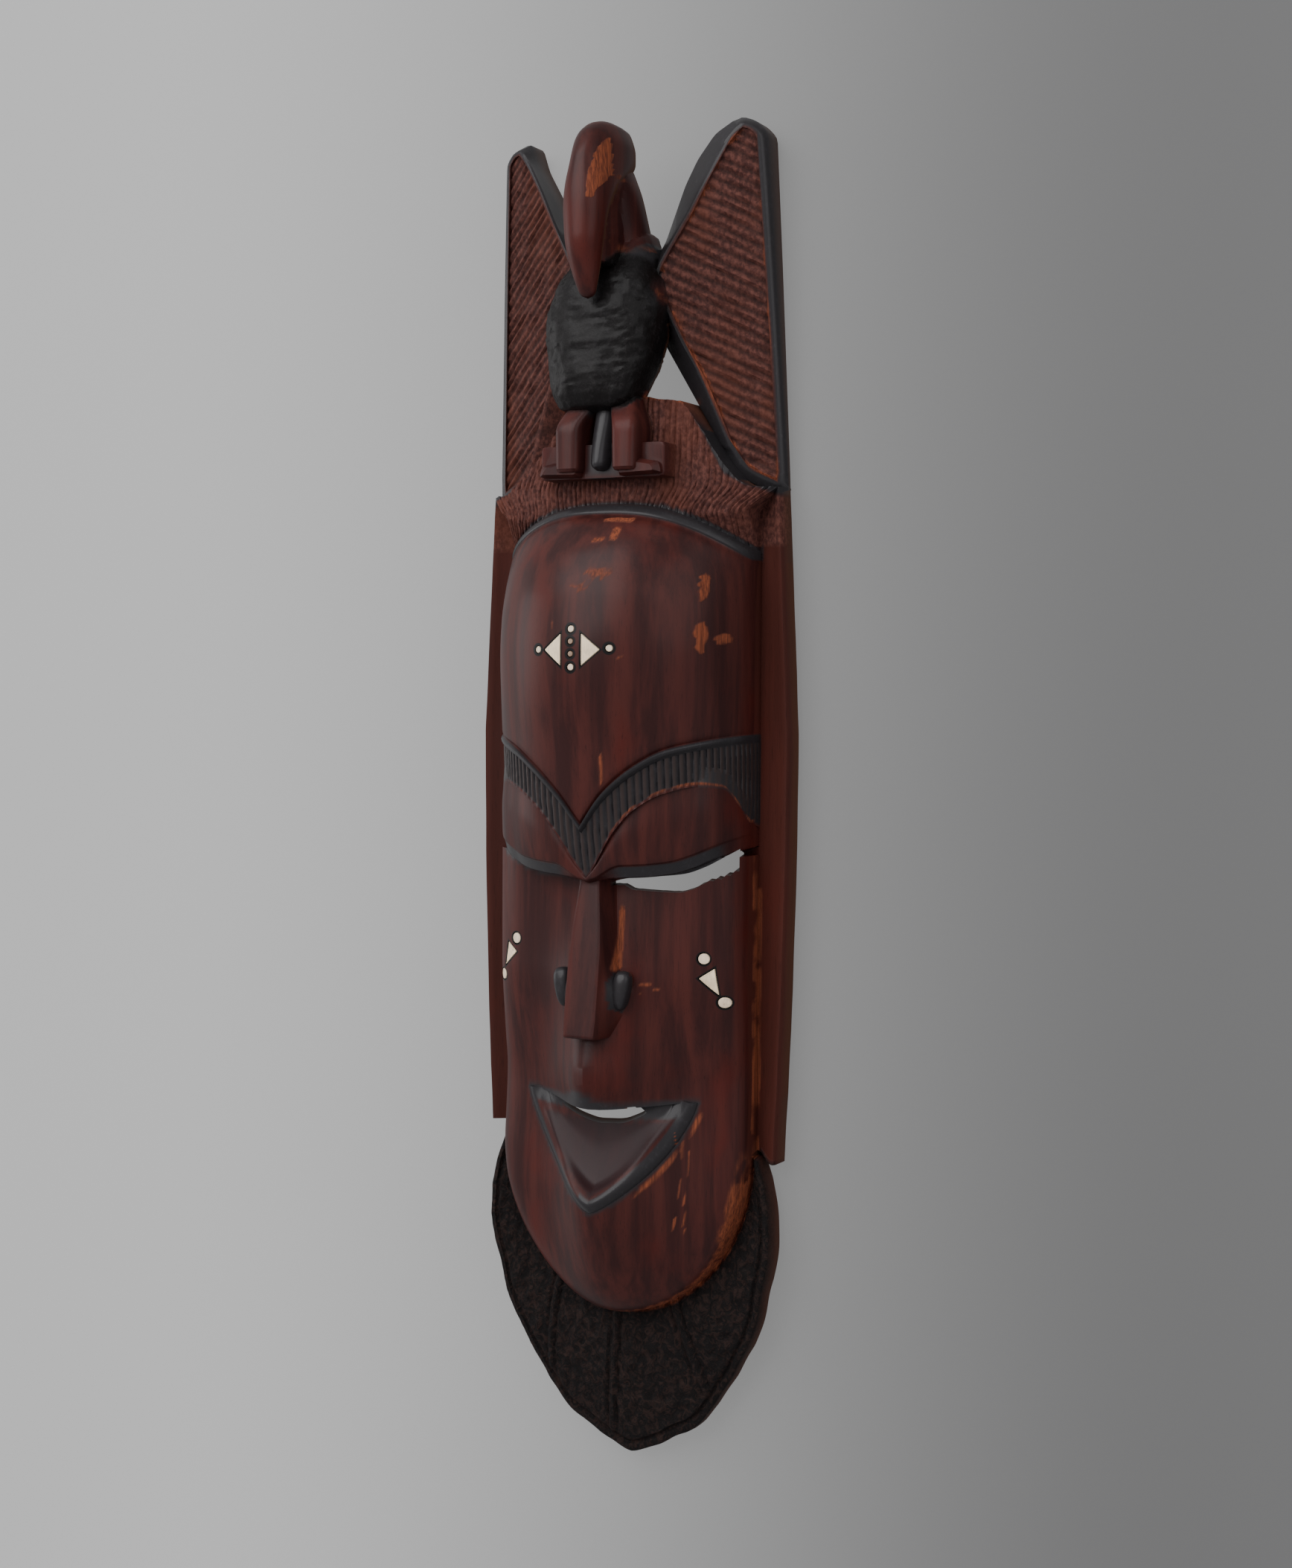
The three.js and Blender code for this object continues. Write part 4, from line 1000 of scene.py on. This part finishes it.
def woodMaterial():
    board = Board("carvedHardwood", Specular_IOR_Level=0.11, Coat_Roughness=0.25, Coat_IOR=1.45)
    tones = woodTones
    fibre = board.noise((1500, 45, 1500), 4, 0.6)
    pores = board.noise((2600, 130, 2600), 2, 0.5, 0, (3, 1, 0))
    streak = board.noise((160, 9, 160), 4, 0.6, 0.3)
    cloud = board.noise((38, 20, 38), 3, 0.55, 0.4, (1.3, 0.4, 0))
    speckle = board.noise((700, 500, 700), 4, 0.65)
    crackle = board.noise((330, 260, 330), 5, 0.7, 1.6, (5, 2, 0))
    stain, field, beard_ = board.mask("stain"), board.mask("field"), board.mask("beard")
    plank, bare, back = board.mask("plank"), board.mask("bare"), board.mask("back")
    matte = board.mask("matte")

    polished = board.colour(streak.over(0.35, 0.68), tones["dark"], tones["brown"])
    polished = board.colour(cloud.over(0.5, 0.75) * 0.65, polished, tones["red"])
    polished = board.colour(plank * 0.55, polished, tones["plank"])
    polished = board.colour(board.mask("basin") * 0.85, polished, tones["basin"])
    polished = board.colour(pores.over(0.6, 0.72) * 0.35, polished, tones["pore"])
    fieldTone = board.colour(speckle.over(0.36, 0.66), tones["fieldDeep"], tones["field"])
    fieldTone = board.colour(cloud.over(0.45, 0.7) * 0.5, fieldTone, tones["fieldWarm"])
    # Painted shade darkens the wing's grooves.
    fieldTone = board.colour(board.mask("grooveShade") * 0.7, fieldTone, tones["grooveShade"])
    base = board.colour(field, polished, fieldTone)
    beardTone = board.colour(crackle.over(0.45, 0.62), tones["beard"], tones["beardWarm"])
    base = board.colour(beard_, base, beardTone)
    black = board.colour(speckle.over(0.5, 0.8) * 0.5, tones["stain"], tones["stainPale"])
    matteTone = board.colour(speckle.over(0.5, 0.7), tones["matte"], tones["mattePale"])
    black = board.colour(matte, black, matteTone)
    # Painted highlight on the ridge tops of the hatched brow.
    black = board.colour(board.mask("ridge").over(0.45, 1) * 0.75, black, tones["ridge"])
    base = board.colour(stain * (0.93 + 0.07 * streak), base, black)
    raw = board.colour(fibre.over(0.3, 0.7), tones["bareDeep"], tones["bare"])
    worn = (bare * (0.75 + 0.5 * speckle)).over(0.22, 0.72)
    base = board.colour(worn, base, raw)
    ring = mastic(board) * board.mask("mastic")
    base = board.colour(ring, base, tones["mastic"])
    base = board.colour(back, base, board.colour(streak, tones["backDeep"], tones["back"]))

    rough = 0.36 + 0.16 * streak + 0.08 * plank + field * 0.27 + beard_ * 0.3 + stain * 0.04
    rough = board.blend(worn, rough, 0.72)
    rough = board.blend(back, rough, 0.8)
    coat = 0.12 + stain * 0.2 - matte * 0.2 - field * 0.25 - beard_ * 0.5 - plank * 0.2
    coat = coat.maths("MAXIMUM", 0.0) * (1 - worn) * (1 - back)
    grain = board.bump(fibre * 0.6 + pores * 0.4, 0.16, 0.0002)
    pitted = speckle * (0.12 + field * 0.5 + beard_ * 2.2 + matte * 1.2 + worn * 0.6)
    relief = board.bump(pitted, 0.5, 0.0005, grain)
    relief = board.bump(crackle * beard_, 0.9, 0.0012, relief)
    return board.finish(Base_Color=base, Roughness=rough, Coat_Weight=coat, Normal=relief)


def boneMaterial(name, tone):
    board = Board(name, Specular_IOR_Level=0.5)
    grain = board.noise((900, 260, 900), 3, 0.6)
    dirt = board.noise((420, 420, 420), 3, 0.6, 0.5, (2, 5, 0))
    base = board.colour(grain.over(0.3, 0.75), tone, tuple(c * 0.86 for c in tone))
    base = board.colour(dirt.over(0.6, 0.78) * 0.5, base, (120, 92, 70))
    normal = board.bump(grain, 0.2, 0.0001)
    return board.finish(Base_Color=base, Roughness=0.42 + 0.15 * dirt, Normal=normal)


mask = carve()
paint(mask)
ringed = mask.data.attributes.new("mastic", "FLOAT", "POINT")
ringed.data.foreach_set("value", (coordsOf(mask)[:, 2] > 0.016).astype(np.float32))
bpy.ops.object.select_all(action="DESELECT")
bpy.context.view_layer.objects.active = mask
mask.select_set(True)
bpy.ops.object.shade_smooth_by_angle(angle=math.radians(38))
mask.data.materials.clear()
mask.data.materials.append(woodMaterial())
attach(mask, "root")
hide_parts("mask")
print("painted", sum(len(face.vertices) - 2 for face in mask.data.polygons), "triangles")

boneTones = {"dot": (236, 212, 184), "triangle": (246, 222, 188), "pin": (150, 122, 100)}
boneLooks = {kind: boneMaterial("bone_" + kind, tone) for kind, tone in boneTones.items()}
for name in inlays:
    steps = ((0, -size["inlayDeep"]), (0, -0.2), (-0.12, 0), (-0.35, 0.03))
    ob = stackedOutlines(name.replace("inlay_", "bone_"), boneRings(name, steps))
    bpy.ops.object.select_all(action="DESELECT")
    bpy.context.view_layer.objects.active = ob
    ob.select_set(True)
    bpy.ops.object.shade_smooth_by_angle(angle=math.radians(50))
    ob.data.materials.append(next(look for kind, look in boneLooks.items() if kind in name))
    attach(ob, "root")
    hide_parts(name)
print("inlaid", len(inlays), "bones")

# The camera looks down on the lying mask from its right, as the photograph was taken.
shot = {"turn": 27.4, "rise": 2.6, "roll": 0.36, "far": 0.811, "centreY": 0.0064, "lens": 48.76}
turn, rise, roll = (math.radians(shot[key]) for key in ("turn", "rise", "roll"))
backward = Vector((math.sin(turn) * math.cos(rise), math.sin(rise), math.cos(turn) * math.cos(rise)))
across = Vector((0, 1, 0)).cross(backward).normalized()
upward = backward.cross(across)
across, upward = (across * math.cos(roll) + upward * math.sin(roll),
                  upward * math.cos(roll) - across * math.sin(roll))
camera = bpy.data.objects.new("camera", bpy.data.cameras.new("camera"))
bpy.context.scene.collection.objects.link(camera)
camera.data.lens = shot["lens"]
camera.matrix_world = Matrix.Translation(Vector((0, shot["centreY"], 0)) + backward * shot["far"]) @ Matrix(
    (across, upward, backward)).transposed().to_4x4()
bpy.context.scene.camera = camera

# Wide soft lamps above the bird and to the left, and a little fill from the right.
lightSettings = {
    "key": {"at": (-0.4, 0.95, 1.25), "wide": 1.5, "power": 31.0},
    "side": {"at": (-1.6, 0.2, 0.4), "wide": 0.8, "power": 6.0},
    "fill": {"at": (1.3, 0.7, 0.8), "wide": 1.2, "power": 7.0},
    "sky": 0.62, "skyColour": (0.91, 0.91, 0.94, 1),
}
for name in ("key", "side", "fill"):
    lamp = bpy.data.lights.new(name, "AREA")
    lamp.energy = lightSettings[name]["power"]
    lamp.size = lightSettings[name]["wide"]
    ob = bpy.data.objects.new(name, lamp)
    bpy.context.scene.collection.objects.link(ob)
    at = Vector(lightSettings[name]["at"])
    ob.matrix_world = Matrix.Translation(at) @ at.to_track_quat("Z", "Y").to_matrix().to_4x4()
world = bpy.data.worlds.new("studio")
world.use_nodes = True
world.node_tree.nodes["Background"].inputs["Color"].default_value = lightSettings["skyColour"]
world.node_tree.nodes["Background"].inputs["Strength"].default_value = lightSettings["sky"]
bpy.context.scene.world = world

# The floor is pale on the left and falls off to the right, as the ground in the photo does.
# Painted light: the floor's brightness and its fall-off come from its own glow, with only a faint diffuse
# part lit by the lamps.
floorGlow = {"left": 0.68, "right": 0.115, "leftX": -0.25, "rightX": 0.22, "glow": 0.8}
bpy.ops.mesh.primitive_plane_add(size=8, location=(0, 0, 0))
floor = bpy.context.object
floor.name = "glowingFloor"
place(floor, coordsOf(floor) + [0, 0, -0.0004])
board = Board("glowingFloor", Roughness=0.9, Specular_IOR_Level=0.1, Emission_Strength=floorGlow["glow"])
floorX = board.node("ShaderNodeSeparateXYZ", {}, {0: board.place}, "X")
share = floorX.over(floorGlow["leftX"], floorGlow["rightX"])
glowGrey = board.blend(share, floorGlow["left"], floorGlow["right"])
glowGrey = glowGrey * (0.985 + 0.03 * board.noise((900, 900, 900), 2))
glowGrey = board.node("ShaderNodeCombineColor", {}, {0: glowGrey, 1: glowGrey, 2: glowGrey})
floor.data.materials.append(board.finish(Base_Color=(0.07, 0.07, 0.07, 1), Emission_Color=glowGrey))
